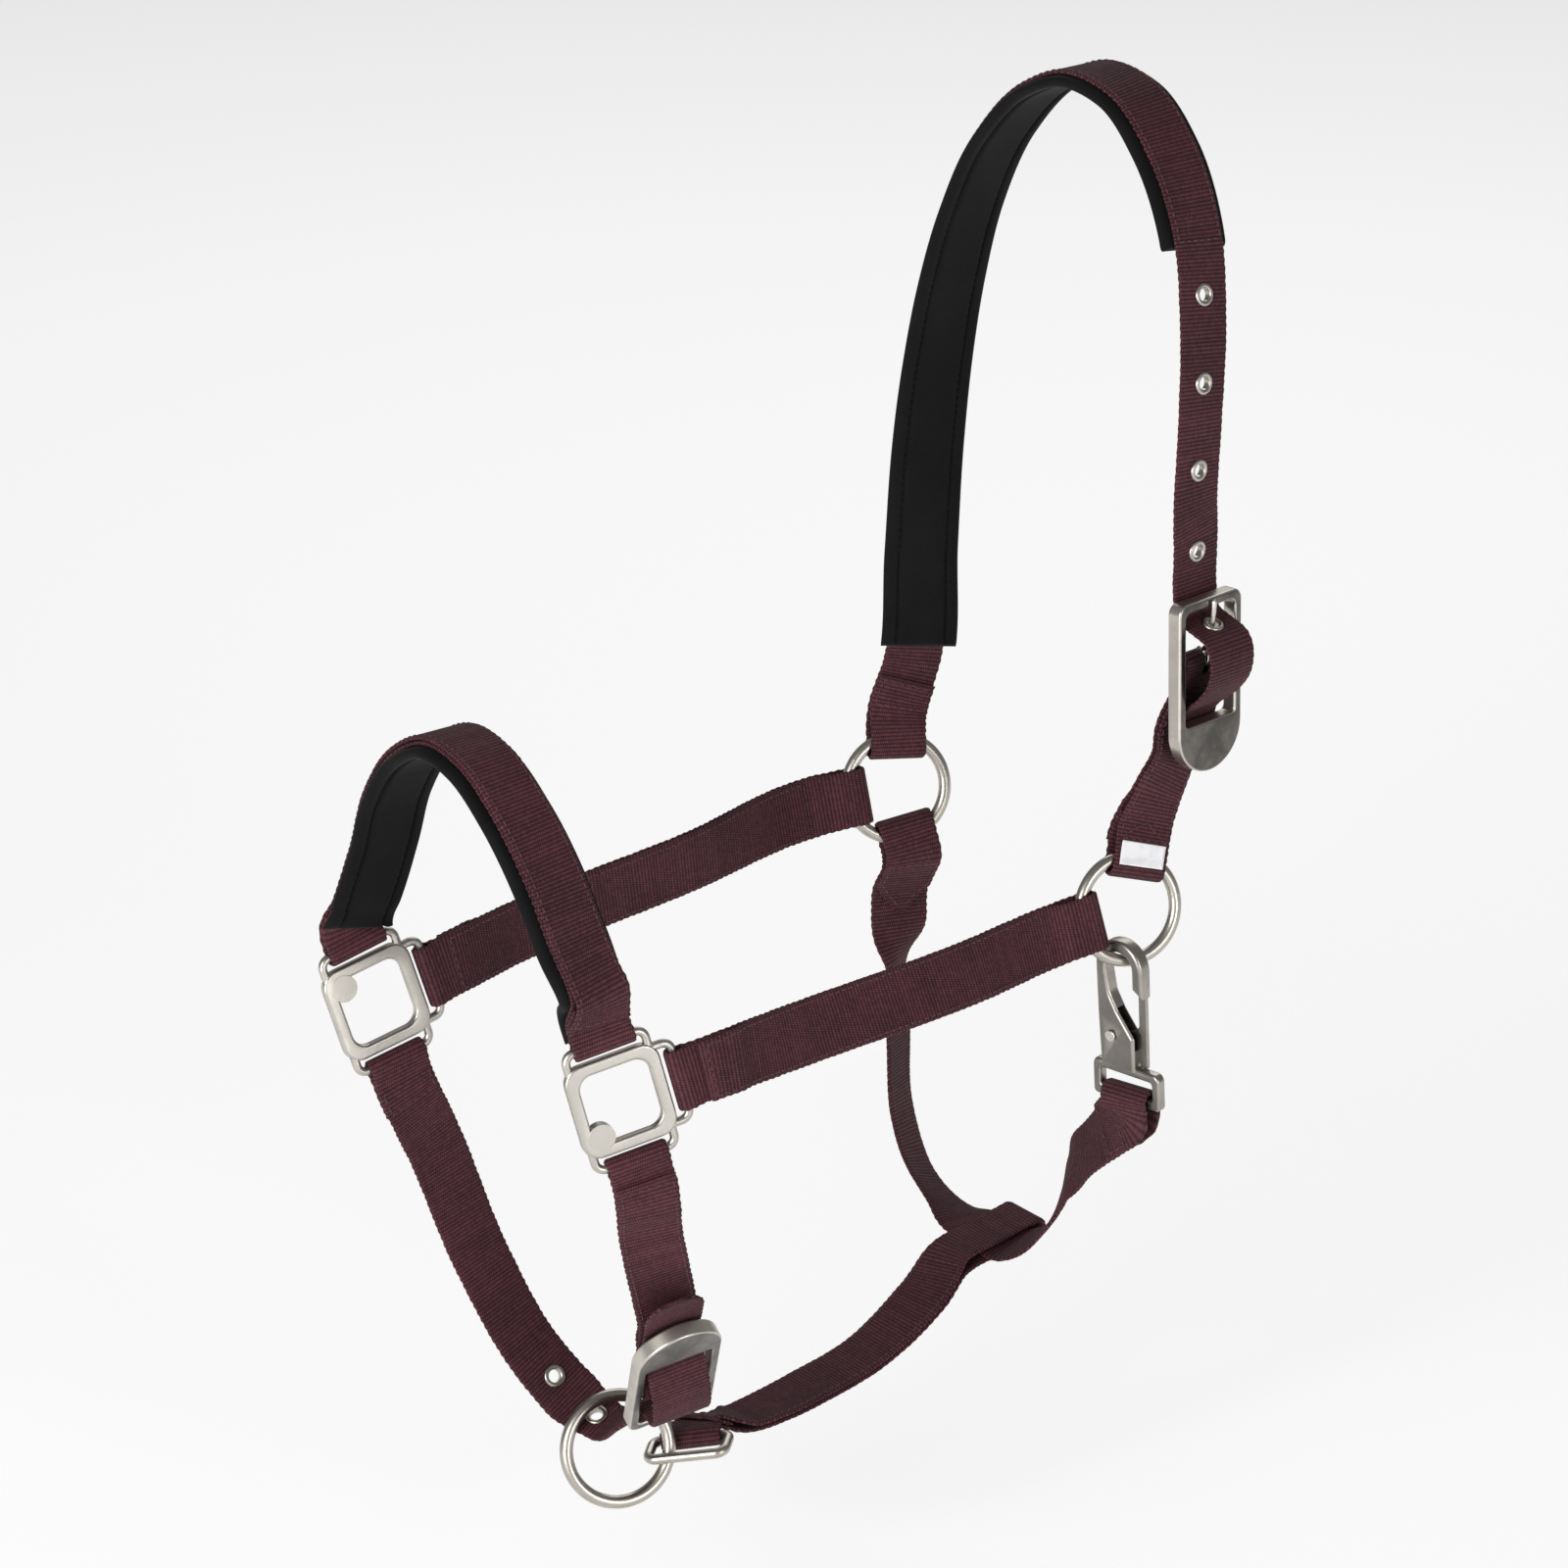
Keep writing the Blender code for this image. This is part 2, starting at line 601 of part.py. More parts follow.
def rounded(corners, count=4):
    """An outline through corners, each given as a point and the radius that rounds it."""
    outline = []
    total = len(corners)
    for index, (x, y, radius) in enumerate(corners):
        corner = Vector((x, y))
        before = Vector(corners[index - 1][:2]) - corner
        after = Vector(corners[(index + 1) % total][:2]) - corner
        if radius <= 0.0:
            outline.append(tuple(corner))
            continue
        half = before.angle(after) / 2
        reach = radius / math.tan(half)
        middle = (before.normalized() + after.normalized()).normalized()
        centre = corner + middle * (radius / math.sin(half))
        first = corner + before.normalized() * reach - centre
        last = corner + after.normalized() * reach - centre
        sweep = first.angle_signed(last)
        for step in range(count + 1):
            outline.append(tuple(centre + Matrix.Rotation(-sweep * step / count, 2) @ first))
    return outline


def box_outline(half_x, half_y, radius, centre=(0.0, 0.0), count=4):
    x, y = centre
    return rounded([(x - half_x, y - half_y, radius), (x + half_x, y - half_y, radius),
                    (x + half_x, y + half_y, radius), (x - half_x, y + half_y, radius)], count)


def plate(name, outlines, thickness, bevel):
    """A closed mesh of flat outlines, the first the outside and the rest holes, with eased edges."""
    curve = bpy.data.curves.new(name, "CURVE")
    curve.dimensions = "2D"
    curve.fill_mode = "BOTH"
    curve.extrude = thickness / 2 - bevel
    curve.bevel_depth = bevel
    curve.bevel_resolution = 0
    curve.offset = -bevel
    for outline in outlines:
        spline = curve.splines.new("POLY")
        spline.points.add(len(outline) - 1)
        for point, (x, y) in zip(spline.points, outline):
            point.co = (x, y, 0.0, 1.0)
        spline.use_cyclic_u = True
    return as_mesh(name, curve)


def wire(name, points, radius, cyclic=False, resolution=2):
    """A closed mesh of a round wire through points."""
    curve = bpy.data.curves.new(name, "CURVE")
    curve.dimensions = "3D"
    curve.bevel_depth = radius
    curve.bevel_resolution = resolution
    curve.use_fill_caps = True
    spline = curve.splines.new("POLY")
    spline.points.add(len(points) - 1)
    for point, place in zip(spline.points, points):
        point.co = (*place, 1.0)
    spline.use_cyclic_u = cyclic
    return as_mesh(name, curve)


def as_mesh(name, curve):
    """The mesh that a curve makes, with its caps welded on."""
    guide = bpy.data.objects.new(name, curve)
    bpy.context.scene.collection.objects.link(guide)
    evaluated = guide.evaluated_get(bpy.context.evaluated_depsgraph_get())
    mesh = bpy.data.meshes.new_from_object(evaluated)
    bpy.data.objects.remove(guide)
    bm = bmesh.new()
    bm.from_mesh(mesh)
    bmesh.ops.remove_doubles(bm, verts=bm.verts, dist=0.01 * MM)
    bmesh.ops.recalc_face_normals(bm, faces=bm.faces)
    bm.to_mesh(mesh)
    bm.free()
    mesh.name = name
    return mesh


def cylinder(name, radius, length, sides=16):
    """A closed cylinder along Z, centred on the origin."""
    mesh = bpy.data.meshes.new(name)
    bm = bmesh.new()
    bmesh.ops.create_cone(bm, cap_ends=True, segments=sides, radius1=radius, radius2=radius, depth=length)
    bm.to_mesh(mesh)
    bm.free()
    return mesh


def block(name, low, high):
    """A closed box between two corners."""
    mesh = bpy.data.meshes.new(name)
    bm = bmesh.new()
    low, high = Vector(low), Vector(high)
    size = Matrix.Diagonal((*(high - low), 1.0))
    bmesh.ops.create_cube(bm, size=1.0, matrix=Matrix.Translation((low + high) / 2) @ size)
    bm.to_mesh(mesh)
    bm.free()
    return mesh


def along_x():
    return Matrix.Rotation(math.pi / 2, 4, "Y")


METAL = (NICKEL, 0.32, 1.0)
WEBBING = (BURGUNDY, 0.85, 0.0)
NEOPRENE = (BLACK, 0.8, 0.0)


def staple(name, seat, direction):
    """A bail: a wire bent into a staple, its feet inside the square's frame."""
    root = SQUARE_HALF - SQUARE_BAR / 2
    bend = BAIL_CORNER
    path = [(-BAIL_HALF, root)] + arc_points((bend - BAIL_HALF, seat - bend), bend, 180, 90, 4)
    path += arc_points((BAIL_HALF - bend, seat - bend), bend, 90, 0, 4) + [(BAIL_HALF, root)]
    mesh = wire(name, [(x, y, 0.0) for x, y in path], BAIL_BAR, resolution=1)
    mesh.transform(Matrix.Rotation(direction, 4, "Z"))
    return mesh


def square(name, frame):
    """A cast halter square: a frame with a disc in one corner and bails on three sides."""
    outer = box_outline(SQUARE_HALF, SQUARE_HALF, SQUARE_CORNER)
    inner = SQUARE_HALF - SQUARE_BAR
    window = box_outline(inner, inner, WINDOW_CORNER)
    body = piece(name, plate(name, [outer, window], SQUARE_THICKNESS, METAL_BEVEL), METAL, frame)
    for side, direction in (("upper", 0.0), ("rear", -math.pi / 2), ("lower", math.pi)):
        bail = f"{name}_{side}_bail"
        boolean(body, cutter(bail, staple(bail, BAIL_SEAT, direction), frame), "UNION")
    spot = frame @ Matrix.Translation((-DISC_PLACE, -DISC_PLACE, 0.0))
    disc = cylinder(name + "_disc", DISC_RADIUS, DISC_THICKNESS, 20)
    boolean(body, cutter(name + "_disc", disc, spot), "UNION")
    return body


def ring(name, frame, radius, wire_radius):
    """A welded ring, its origin at its centre and its axis along its own Z."""
    bpy.ops.mesh.primitive_torus_add(major_segments=RING_FACETS, minor_segments=8,
                                     major_radius=radius, minor_radius=wire_radius)
    made = bpy.context.object
    mesh = made.data
    bpy.data.objects.remove(made)
    mesh.name = name
    mesh.shade_smooth()
    return piece(name, mesh, METAL, frame)


def buckle(name, frame):
    """A cast buckle frame with its centre bar: flat top bar, two rails, and a round plate below."""
    half, rail = BUCKLE_HALF, BUCKLE_RAIL
    outer = rounded([(half, -BUCKLE_PLATE_CENTRE, 0.0), (half, BUCKLE_TOP, BUCKLE_CORNER),
                     (-half, BUCKLE_TOP, BUCKLE_CORNER), (-half, -BUCKLE_PLATE_CENTRE, 0.0)], 4)
    outer += arc_points((0.0, -BUCKLE_PLATE_CENTRE), half, 180, 360, 17)[1:-1]
    window = rounded([(half - rail, BUCKLE_TOP - BUCKLE_TOP_BAR, BUCKLE_THROAT_CORNER),
                      (rail - half, BUCKLE_TOP - BUCKLE_TOP_BAR, BUCKLE_THROAT_CORNER),
                      (rail - half, -BUCKLE_PLATE_TOP, BUCKLE_PLATE_CORNER),
                      (half - rail, -BUCKLE_PLATE_TOP, BUCKLE_PLATE_CORNER)], 3)
    body = piece(name, plate(name, [outer, window], BUCKLE_THICKNESS, METAL_BEVEL), METAL, frame)
    bar = cylinder(name + "_bar", BUCKLE_BAR, 2 * (half - rail / 2), 12)
    boolean(body, cutter(name + "_bar", bar, frame @ along_x()), "UNION")
    return body


def prong(name, frame):
    """A wire prong bent round the centre bar, its tip over the top bar."""
    rest = BUCKLE_THICKNESS / 2 + FIT + PRONG_WIRE
    eye = [(0.0, PRONG_EYE * math.cos(angle), PRONG_EYE * math.sin(angle))
           for angle in np.radians(np.linspace(*PRONG_CURL, 11))]
    shaft = [(0.0, along, PRONG_EYE + (rest - PRONG_EYE) * along / PRONG_REST) for along in PRONG_SHAFT]
    tip = [(0.0, PRONG_LENGTH, rest)]
    return piece(name, wire(name, eye + shaft + tip, PRONG_WIRE), METAL, frame)


def eyelet(name, matrix):
    """A turned eyelet closed over both faces of the webbing."""
    face = WEB_THICKNESS / 2 + EYELET_GAP
    half = [(EYELET_BORE, face + EYELET_LIP), (EYELET_CREST, face + EYELET_RISE),
            (EYELET_FLANGE, face + EYELET_EDGE), (EYELET_BARREL, face)]
    profile = half + [(radius, -height) for radius, height in reversed(half)]
    mesh = bpy.data.meshes.new(name)
    count = len(profile)
    mesh.from_pydata([(radius, 0.0, height) for radius, height in profile],
                     [(index, (index + 1) % count) for index in range(count)], [])
    body = piece(name, mesh, METAL, matrix)
    turned = body.modifiers.new("turned", "SCREW")
    turned.axis = "Z"
    turned.steps = EYELET_STEPS
    turned.render_steps = EYELET_STEPS
    turned.use_merge_vertices = True
    turned.merge_threshold = 0.00001
    turned.use_normal_calculate = True
    return body


def punch(body, matrix):
    """The hole that an eyelet's barrel goes through."""
    name = f"{body.name}_hole_{len(body.modifiers)}"
    hole = cylinder(name, EYELET_BARREL + FIT, PUNCH_LENGTH, EYELET_STEPS)
    boolean(body, cutter(name, hole, matrix), "DIFFERENCE")


def noseband():
    route = Route(bail_end(NEAR_SQUARE, (0, 1), 1) + stations(NOSE_ROUTE)
                  + bail_end(OFF_SQUARE, (0, -1), -1)[::-1])
    strap = Strap(route, BAIL_LOOP, BAIL_LOOP).band()
    ribbon("noseband_strap", strap.rows, WEBBING)
    gap = WEB_THICKNESS / 2 + FIT
    padding("noseband_pad", route, route.length, PAD_START, route.length - PAD_START,
            lambda arc: -max(strap.spread(arc - PAD_EASE), strap.spread(arc + PAD_EASE)) - gap)


def cheek(name, square_frame, ring_frame, angle, points, turned):
    route = Route(bail_end(square_frame, (1, 0), turned) + stations(points)
                  + ring_end(ring_frame, RING_RADIUS, angle, -turned)[::-1])
    strap = Strap(route, BAIL_LOOP, RING_LOOP, CHEEK_PITCH).band()
    ribbon(name, strap.rows, WEBBING)


def tongue(name, route, frame, loop, eyelets, pitch, pinch=0.0, pinched=(0, 0, 0)):
    """A strap sewn round a bar or a ring at one end, laced through a buckle at the other."""
    strap = Strap(route, loop, pitch=pitch)
    strap.pinch = pinch
    strap.pinched = route.nearest(millimetres(*pinched))
    entry = route.nearest(frame @ millimetres(0.0, *LACING[1]))
    laced_arc = route.nearest(frame @ millimetres(0.0, *LACED_EYELET))
    arcs = [laced_arc - back * MM for back in eyelets]
    strap.ply(loop.back, 0.0, lambda arc: -strap.spread(arc))
    strap.turn(False, -1.0)
    strap.ply(0.0, entry, strap.single, flats=arcs)
    strap.pitch = LACED_PITCH
    strap.ply(entry + strap.pitch, route.length, strap.single, tip=ROUND_TIP, flats=arcs)
    body = ribbon(f"{name}_strap", strap.rows, WEBBING)
    for index, arc in enumerate(arcs):
        matrix = seat(route, arc)
        punch(body, matrix)
        eyelet(f"{name}_eyelet_{index + 1}", matrix)
    return strap


def crown():
    route = Route(ring_end(OFF_RING, RING_RADIUS, OFF_CROWN_ANGLE, -1) + stations(CROWN_ROUTE)
                  + laced(CROWN_BUCKLE, LACING + CROWN_TAIL))
    strap = tongue("crown", route, CROWN_BUCKLE, RING_LOOP, CROWN_EYELETS, ROW_PITCH)
    entry = route.nearest(CROWN_BUCKLE @ millimetres(0.0, *LACING[1]))
    gap = WEB_THICKNESS / 2 + FIT
    padding("crown_pad", route, entry, CROWN_PAD_START, route.nearest(millimetres(*CROWN_PAD_STOP)),
            lambda arc: strap.single(arc) - gap)


def crown_chape():
    route = Route(ring_end(NEAR_RING, RING_RADIUS, NEAR_CHAPE_ANGLE, 1) + stations(CROWN_CHAPE_ROUTE)
                  + laced(CROWN_BUCKLE, CHAPE_LACING, -1))
    strap = Strap(route, RING_LOOP, BUCKLE_LOOP).band(-1.0, slot=True)
    ribbon("crown_chape", strap.rows, WEBBING, slotted=True)
    label = []
    for arc in np.linspace(LABEL_PLACE, LABEL_PLACE + LABEL_LENGTH, 4):
        point, _, across, outward = route.at(arc)
        level = strap.spread(arc - LABEL_EASE) + WEB_THICKNESS / 2 + FIT + LABEL_THICKNESS / 2
        label.append((point + outward * level, across, LABEL_WIDTH, False))
    ribbon("care_label", label, (WHITE, 0.7, 0.0), LABEL_THICKNESS)


def chin():
    route = Route(bail_end(OFF_SQUARE, (0, 1), -1) + stations(CHIN_ROUTE)
                  + laced(CHIN_BUCKLE, LACING[1:] + CHIN_TAIL, -1))
    tongue("chin", route, CHIN_BUCKLE, BAIL_LOOP, CHIN_EYELETS, CHIN_PITCH, CHIN_PINCH, CHIN_CROSSING)


def chin_chape():
    route = Route(bail_end(NEAR_SQUARE, (0, -1), 1) + stations(CHIN_CHAPE_ROUTE)
                  + laced(CHIN_BUCKLE, CHAPE_LACING, -1))
    strap = Strap(route, BAIL_LOOP, BUCKLE_LOOP).band(1.0, slot=True)
    ribbon("chin_chape", strap.rows, WEBBING, slotted=True)


def throat():
    """The throat strap, from the off ring under the jaw to the snap hook's eye."""
    across = HOOK.to_3x3() @ Vector((-1, 0, 0))
    route = Route(ring_end(OFF_RING, RING_RADIUS, OFF_THROAT_ANGLE, 1) + stations(THROAT_ROUTE)
                  + [(HOOK @ Vector((0.0, -EYE_LEAD, 0.0)), across), (HOOK.translation, across)])
    strap = Strap(route, RING_LOOP, EYE_LOOP)
    tail = Strap(route, RING_LOOP, EYE_LOOP).ply(0.0, THROAT_TAIL, strap.spread, tip=POINT_TIP)
    strap.rows = tail.rows[::-1]
    strap.turn(False, 1.0)
    strap.ply(0.0, route.length, lambda arc: -strap.spread(arc))
    strap.turn(True, -1.0)
    strap.ply(route.length, route.length - EYE_LOOP.back, strap.spread)
    ribbon("throat_strap", strap.rows, WEBBING)
    return route


def jaw(throat_route):
    """The jaw strap, from the link to a sewn loop round the throat strap."""
    point, tangent, across, outward = throat_route.at(throat_route.nearest(millimetres(*JAW_CROSSING)))
    centre = point - outward * PLY / 2
    rear = across * (WEB_WIDTH / 2 + JAW_SLACK)
    bar = LINK @ Vector((0.0, LINK_DEPTH / 2, 0.0))
    axis = LINK.to_3x3() @ Vector((1, 0, 0))
    lead = LINK @ Vector((0.0, LINK_DEPTH / 2 + BAIL_LEAD, 0.0))
    entry = centre - rear - across * EYE_LEAD / 2
    route = Route([(bar, axis), (lead, axis)] + stations(JAW_ROUTE)
                  + [(entry, tangent), (centre, tangent), (centre + rear, tangent)])
    strap = Strap(route, LINK_LOOP, STRAP_LOOP, JAW_PITCH).band(-1.0)
    ribbon("jaw_strap", strap.rows, WEBBING)


def link():
    half_x, half_y = LINK_LENGTH / 2, LINK_DEPTH / 2
    outline = box_outline(half_x, half_y, LINK_CORNER)
    mesh = wire("jaw_link", [(x, y, 0.0) for x, y in outline], LINK_WIRE, cyclic=True)
    pivot = LINK @ Matrix.Translation((0.0, half_y, 0.0))
    mesh.transform(Matrix.Translation((0.0, -half_y, 0.0)))
    piece("jaw_link", mesh, METAL, pivot)


def scaled(outline):
    """An outline's corners and radii in metres."""
    return [(x * MM, y * MM, radius * MM) for x, y, radius in outline]


def hook():
    """The snap hook's casting: a flat eye for the strap, a forked shank and a bent hook."""
    middle = (0.0, EYE_BAR + EYE_SLOT_DEPTH / 2)
    slot = box_outline(EYE_SLOT_HALF, EYE_SLOT_DEPTH / 2, EYE_SLOT_CORNER, middle, 2)
    eye = plate("snap_hook", [rounded(scaled(EYE_OUTLINE), 3), slot], EYE_THICKNESS, METAL_BEVEL)
    body = piece("snap_hook", eye, METAL, HOOK)
    reach = GATE_TIP_RADIUS + NOSE_GAP
    nose = []
    for edge in (BEND_CENTRE[0] + BEND_INNER, BEND_CENTRE[0] + BEND_OUTER):
        offset = edge - RIVET_PLACE[0]
        nose.append((edge, RIVET_PLACE[1] + math.sqrt(reach**2 - offset**2)))
    outline = (rounded(scaled(SHANK_OUTLINE), 2) + arc_points(BEND_CENTRE, BEND_INNER, 180, 0, 9) + nose
               + arc_points(BEND_CENTRE, BEND_OUTER, 0, 180, 13) + rounded(scaled(HEEL_OUTLINE)))
    upper = plate("hook_upper", [outline], HOOK_THICKNESS, HOOK_BEVEL)
    boolean(body, cutter("hook_upper", upper, HOOK), "UNION", "MANIFOLD")
    fork = block("gate_slot", (*FORK_LOW, -FORK_SLOT / 2), (*FORK_HIGH, FORK_SLOT / 2))
    boolean(body, cutter("gate_slot", fork, HOOK), "DIFFERENCE", "MANIFOLD")
    spot = HOOK @ Matrix.Translation((*RIVET_PLACE, 0.0))
    bore = cylinder("rivet_bore", RIVET_RADIUS + FIT, 2 * HOOK_THICKNESS, 12)
    boolean(body, cutter("rivet_bore", bore, spot), "DIFFERENCE", "MANIFOLD")
    return spot


def rivet(spot):
    """The gate's rivet, headed over both cheeks of the fork."""
    rise = HOOK_THICKNESS / 2 + FIT + RIVET_HEAD_HEIGHT / 2
    body = piece("snap_rivet", cylinder("snap_rivet", RIVET_RADIUS, 2 * rise, 12), METAL, spot)
    for side, sign in (("front", 1.0), ("back", -1.0)):
        head = cylinder(f"rivet_{side}_head", RIVET_HEAD, RIVET_HEAD_HEIGHT, 12)
        place = spot @ Matrix.Translation((0.0, 0.0, sign * rise))
        boolean(body, cutter(head.name, head, place), "UNION")


def gate(spot):
    """The spring gate: a lever from the rivet out of the fork and up to the hook's nose."""
    tip = [(edge, math.sqrt(GATE_TIP_RADIUS**2 - edge**2), GATE_TIP_CORNER)
           for edge in (GATE_OUTER, GATE_INNER)]
    outline = rounded(scaled(GATE_ARM) + tip + scaled(GATE_CROOK), 3)
    bore = arc_points((0.0, 0.0), RIVET_RADIUS + FIT, 0, 330, 12)
    mesh = plate("snap_gate", [outline, bore], GATE_THICKNESS, GATE_BEVEL)
    mesh.transform(Matrix.Translation((0.0, 0.0, GATE_OFFSET)))
    piece("snap_gate", mesh, METAL, spot)


def spring(spot):
    """The gate's torsion spring: turns round the rivet, one leg on the casting, one on the gate."""
    count = int(SPRING_TURNS * 12) + 1
    turns = [(SPRING_RADIUS * math.cos(angle), SPRING_RADIUS * math.sin(angle),
              SPRING_FOOT + SPRING_PITCH * (angle + math.pi / 2) / (2 * math.pi))
             for angle in np.linspace(-math.pi / 2, (2 * SPRING_TURNS - 0.5) * math.pi, count)]
    first, last = SPRING_LEGS
    path = ([(first[0] * MM, first[1] * MM, turns[0][2])] + turns
            + [(last[0] * MM, last[1] * MM, turns[-1][2])])
    gaps = [(Vector(path[low]) - Vector(path[high])).length - 2 * SPRING_WIRE
            for low in range(len(path)) for high in range(low + 8, len(path))]
    print(f"least gap of the spring to itself: {min(gaps) / MM:.2f} mm")
    piece("snap_spring", wire("snap_spring", path, SPRING_WIRE, resolution=1), METAL, spot)


def main():
    for collection in (PARTS, CUTTERS):
        bpy.context.scene.collection.children.link(collection)
    square("near_square", NEAR_SQUARE)
    square("off_square", OFF_SQUARE)
    ring("near_ring", NEAR_RING, RING_RADIUS, RING_WIRE)
    ring("off_ring", OFF_RING, RING_RADIUS, RING_WIRE)
    ring("chin_ring", CHIN_RING, CHIN_RING_RADIUS, CHIN_RING_WIRE)
    link()
    for name, frame in (("crown", CROWN_BUCKLE), ("chin", CHIN_BUCKLE)):
        buckle(f"{name}_buckle", frame)
        prong(f"{name}_prong", frame)
    spot = hook()
    rivet(spot)
    gate(spot)
    spring(spot)
    noseband()
    cheek("near_cheek_strap", NEAR_SQUARE, NEAR_RING, NEAR_CHEEK_ANGLE, NEAR_CHEEK_ROUTE, 1)
    cheek("off_cheek_strap", OFF_SQUARE, OFF_RING, OFF_CHEEK_ANGLE, OFF_CHEEK_ROUTE, 1)
    crown()
    crown_chape()
    chin()
    chin_chape()
    jaw(throat())


main()
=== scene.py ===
"""Looks of a padded webbing headcollar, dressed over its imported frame.

Metres, +Z up, +X toward the horse's left (the near side), -Y toward its nose.
"""

import math

import bmesh
import bpy
import numpy as np
from mathutils import Matrix, Vector


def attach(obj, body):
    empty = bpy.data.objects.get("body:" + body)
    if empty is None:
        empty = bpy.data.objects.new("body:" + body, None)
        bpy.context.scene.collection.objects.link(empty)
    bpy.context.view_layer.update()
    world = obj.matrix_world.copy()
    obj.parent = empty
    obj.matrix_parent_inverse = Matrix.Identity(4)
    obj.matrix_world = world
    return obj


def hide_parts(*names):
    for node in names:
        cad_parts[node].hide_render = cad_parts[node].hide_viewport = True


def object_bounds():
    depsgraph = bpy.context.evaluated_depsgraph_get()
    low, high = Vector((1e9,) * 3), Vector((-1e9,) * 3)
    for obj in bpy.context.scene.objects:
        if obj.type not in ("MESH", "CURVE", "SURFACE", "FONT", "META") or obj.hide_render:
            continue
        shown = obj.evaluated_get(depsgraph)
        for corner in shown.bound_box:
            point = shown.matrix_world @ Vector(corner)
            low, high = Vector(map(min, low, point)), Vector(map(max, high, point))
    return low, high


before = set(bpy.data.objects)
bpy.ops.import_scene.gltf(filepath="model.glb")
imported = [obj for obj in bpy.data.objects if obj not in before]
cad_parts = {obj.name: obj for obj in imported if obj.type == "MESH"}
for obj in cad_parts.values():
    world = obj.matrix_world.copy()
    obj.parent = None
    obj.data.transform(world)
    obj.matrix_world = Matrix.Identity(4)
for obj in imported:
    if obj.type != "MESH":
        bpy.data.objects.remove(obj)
CAD_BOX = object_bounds()

MM = 0.001

# Webbing and padding
WEB_WIDTH = 26.0 * MM
WEB_THICKNESS = 1.8 * MM
RING_LOOP_WIDTH = 24.4 * MM
PAD_WIDTH = 34.0 * MM
PAD_THICKNESS = 5.0 * MM
PAD_SEAM = 0.647
PAD_START = 2.5 * MM
PAD_TAPER = 42.0 * MM
PAD_NARROW = 0.80
PAD_STOP = 12.0 * MM
PAD_EASE = 12.0 * MM
FIT = 0.3 * MM
PLY = WEB_THICKNESS + FIT
LOOP_FIT = 0.1 * MM
EYE_FIT = 0.8 * MM
CORNER_SAG = 0.9 * MM
MOUTH = 15.0 * MM
BAIL_MOUTH = 10.0 * MM
SINGLE_LEAD = 4.0 * MM
LAP_LEAD = 2.0 * MM
LAP_RISE = 8.0 * MM
SEWN_TAIL = 22.0 * MM
PLY_END = 9.5 * MM
BAIL_LEAD = 9.0 * MM
EYE_LEAD = 8.0 * MM
JAW_LEAD = 6.0 * MM
THROAT_TAIL = 44.0 * MM
JAW_SLACK = 3.5 * MM
STRAP_EASE = 0.8 * MM
CHIN_PINCH = 5.0 * MM
PINCH_REACH = 22.0 * MM

# Weave and sewing
RIB = 1.6 * MM
ROW = RIB / 2
YARN = 1.0 * MM
TROUGH = 0.84
SELVEDGE = ((0.0, 0.34), (0.35 * MM, 0.74), (1.1 * MM, 1.0), (2.6 * MM, 1.0))
SCALLOP = 0.42 * MM
STITCH_PITCH = 3.3 * MM
STITCH_LENGTH = 2.5 * MM
STITCH_RADIUS = 0.33 * MM
STITCH_EDGE = 10.9 * MM
STITCH_PROFILE = ((0.0, 0.45, -0.75), (0.18, 0.85, 0.0), (0.5, 1.0, 0.25), (0.82, 0.85, 0.0),
                  (1.0, 0.45, -0.75))

# Rings and link
RING_RADIUS = 21.6 * MM
RING_WIRE = 2.6 * MM
CHIN_RING_RADIUS = 22.2 * MM
CHIN_RING_WIRE = 2.8 * MM
WELD_WIDTH = 0.045
LINK_LENGTH = 33.0 * MM
LINK_DEPTH = 15.0 * MM
LINK_WIRE = 2.2 * MM
LINK_CORNER = 4.0 * MM

# Halter square
SQUARE_HALF = 20.0 * MM
SQUARE_BAR = 5.3 * MM
SQUARE_THICKNESS = 4.4 * MM
SQUARE_CORNER = 7.5 * MM
WINDOW_CORNER = 6.0 * MM
SQUARE_BEVEL = 1.2 * MM
BAIL_HALF = 16.8 * MM
BAIL_SEAT = 25.4 * MM
BAIL_BAR = 1.8 * MM
BAIL_CORNER = 3.9 * MM
DISC_RADIUS = 5.6 * MM
DISC_PLACE = 11.5 * MM
DISC_THICKNESS = SQUARE_THICKNESS + 0.3 * MM

# Buckle, measured from its centre bar
BUCKLE_TOP = 26.0 * MM
BUCKLE_TOP_BAR = 4.0 * MM
BUCKLE_HALF = 18.6 * MM
BUCKLE_RAIL = 4.0 * MM
BUCKLE_PLATE_TOP = 27.0 * MM
BUCKLE_PLATE_CENTRE = 30.0 * MM
BUCKLE_THICKNESS = 7.0 * MM
BUCKLE_RISE = 1.0 * MM
BUCKLE_BEVEL = 1.1 * MM
BUCKLE_BAR = 1.8 * MM
BUCKLE_CORNER = 4.5 * MM
BUCKLE_THROAT_CORNER = 3.0 * MM
BUCKLE_PLATE_CORNER = 2.0 * MM
PRONG_WIRE = 1.2 * MM
PRONG_EYE = BUCKLE_BAR + FIT + PRONG_WIRE
PRONG_LENGTH = 25.4 * MM
PRONG_SHAFT = (6.0 * MM, 14.0 * MM, 22.0 * MM)
PRONG_REST = 24.0 * MM
PRONG_TIP = (1.2 * MM, 0.3 * MM, 0.0)
PRONG_CURL = (-35, -270)
PRONG_SLOT = 5.6 * MM
PRONG_SLOT_LENGTH = 8.5 * MM

# Eyelet
EYELET_BORE = 2.7 * MM
EYELET_BARREL = 3.3 * MM
EYELET_FLANGE = 4.7 * MM
EYELET_GAP = 0.12 * MM
EYELET_RISE = 0.75 * MM
EYELET_STEPS = 40
FLAT = EYELET_FLANGE + 0.6 * MM

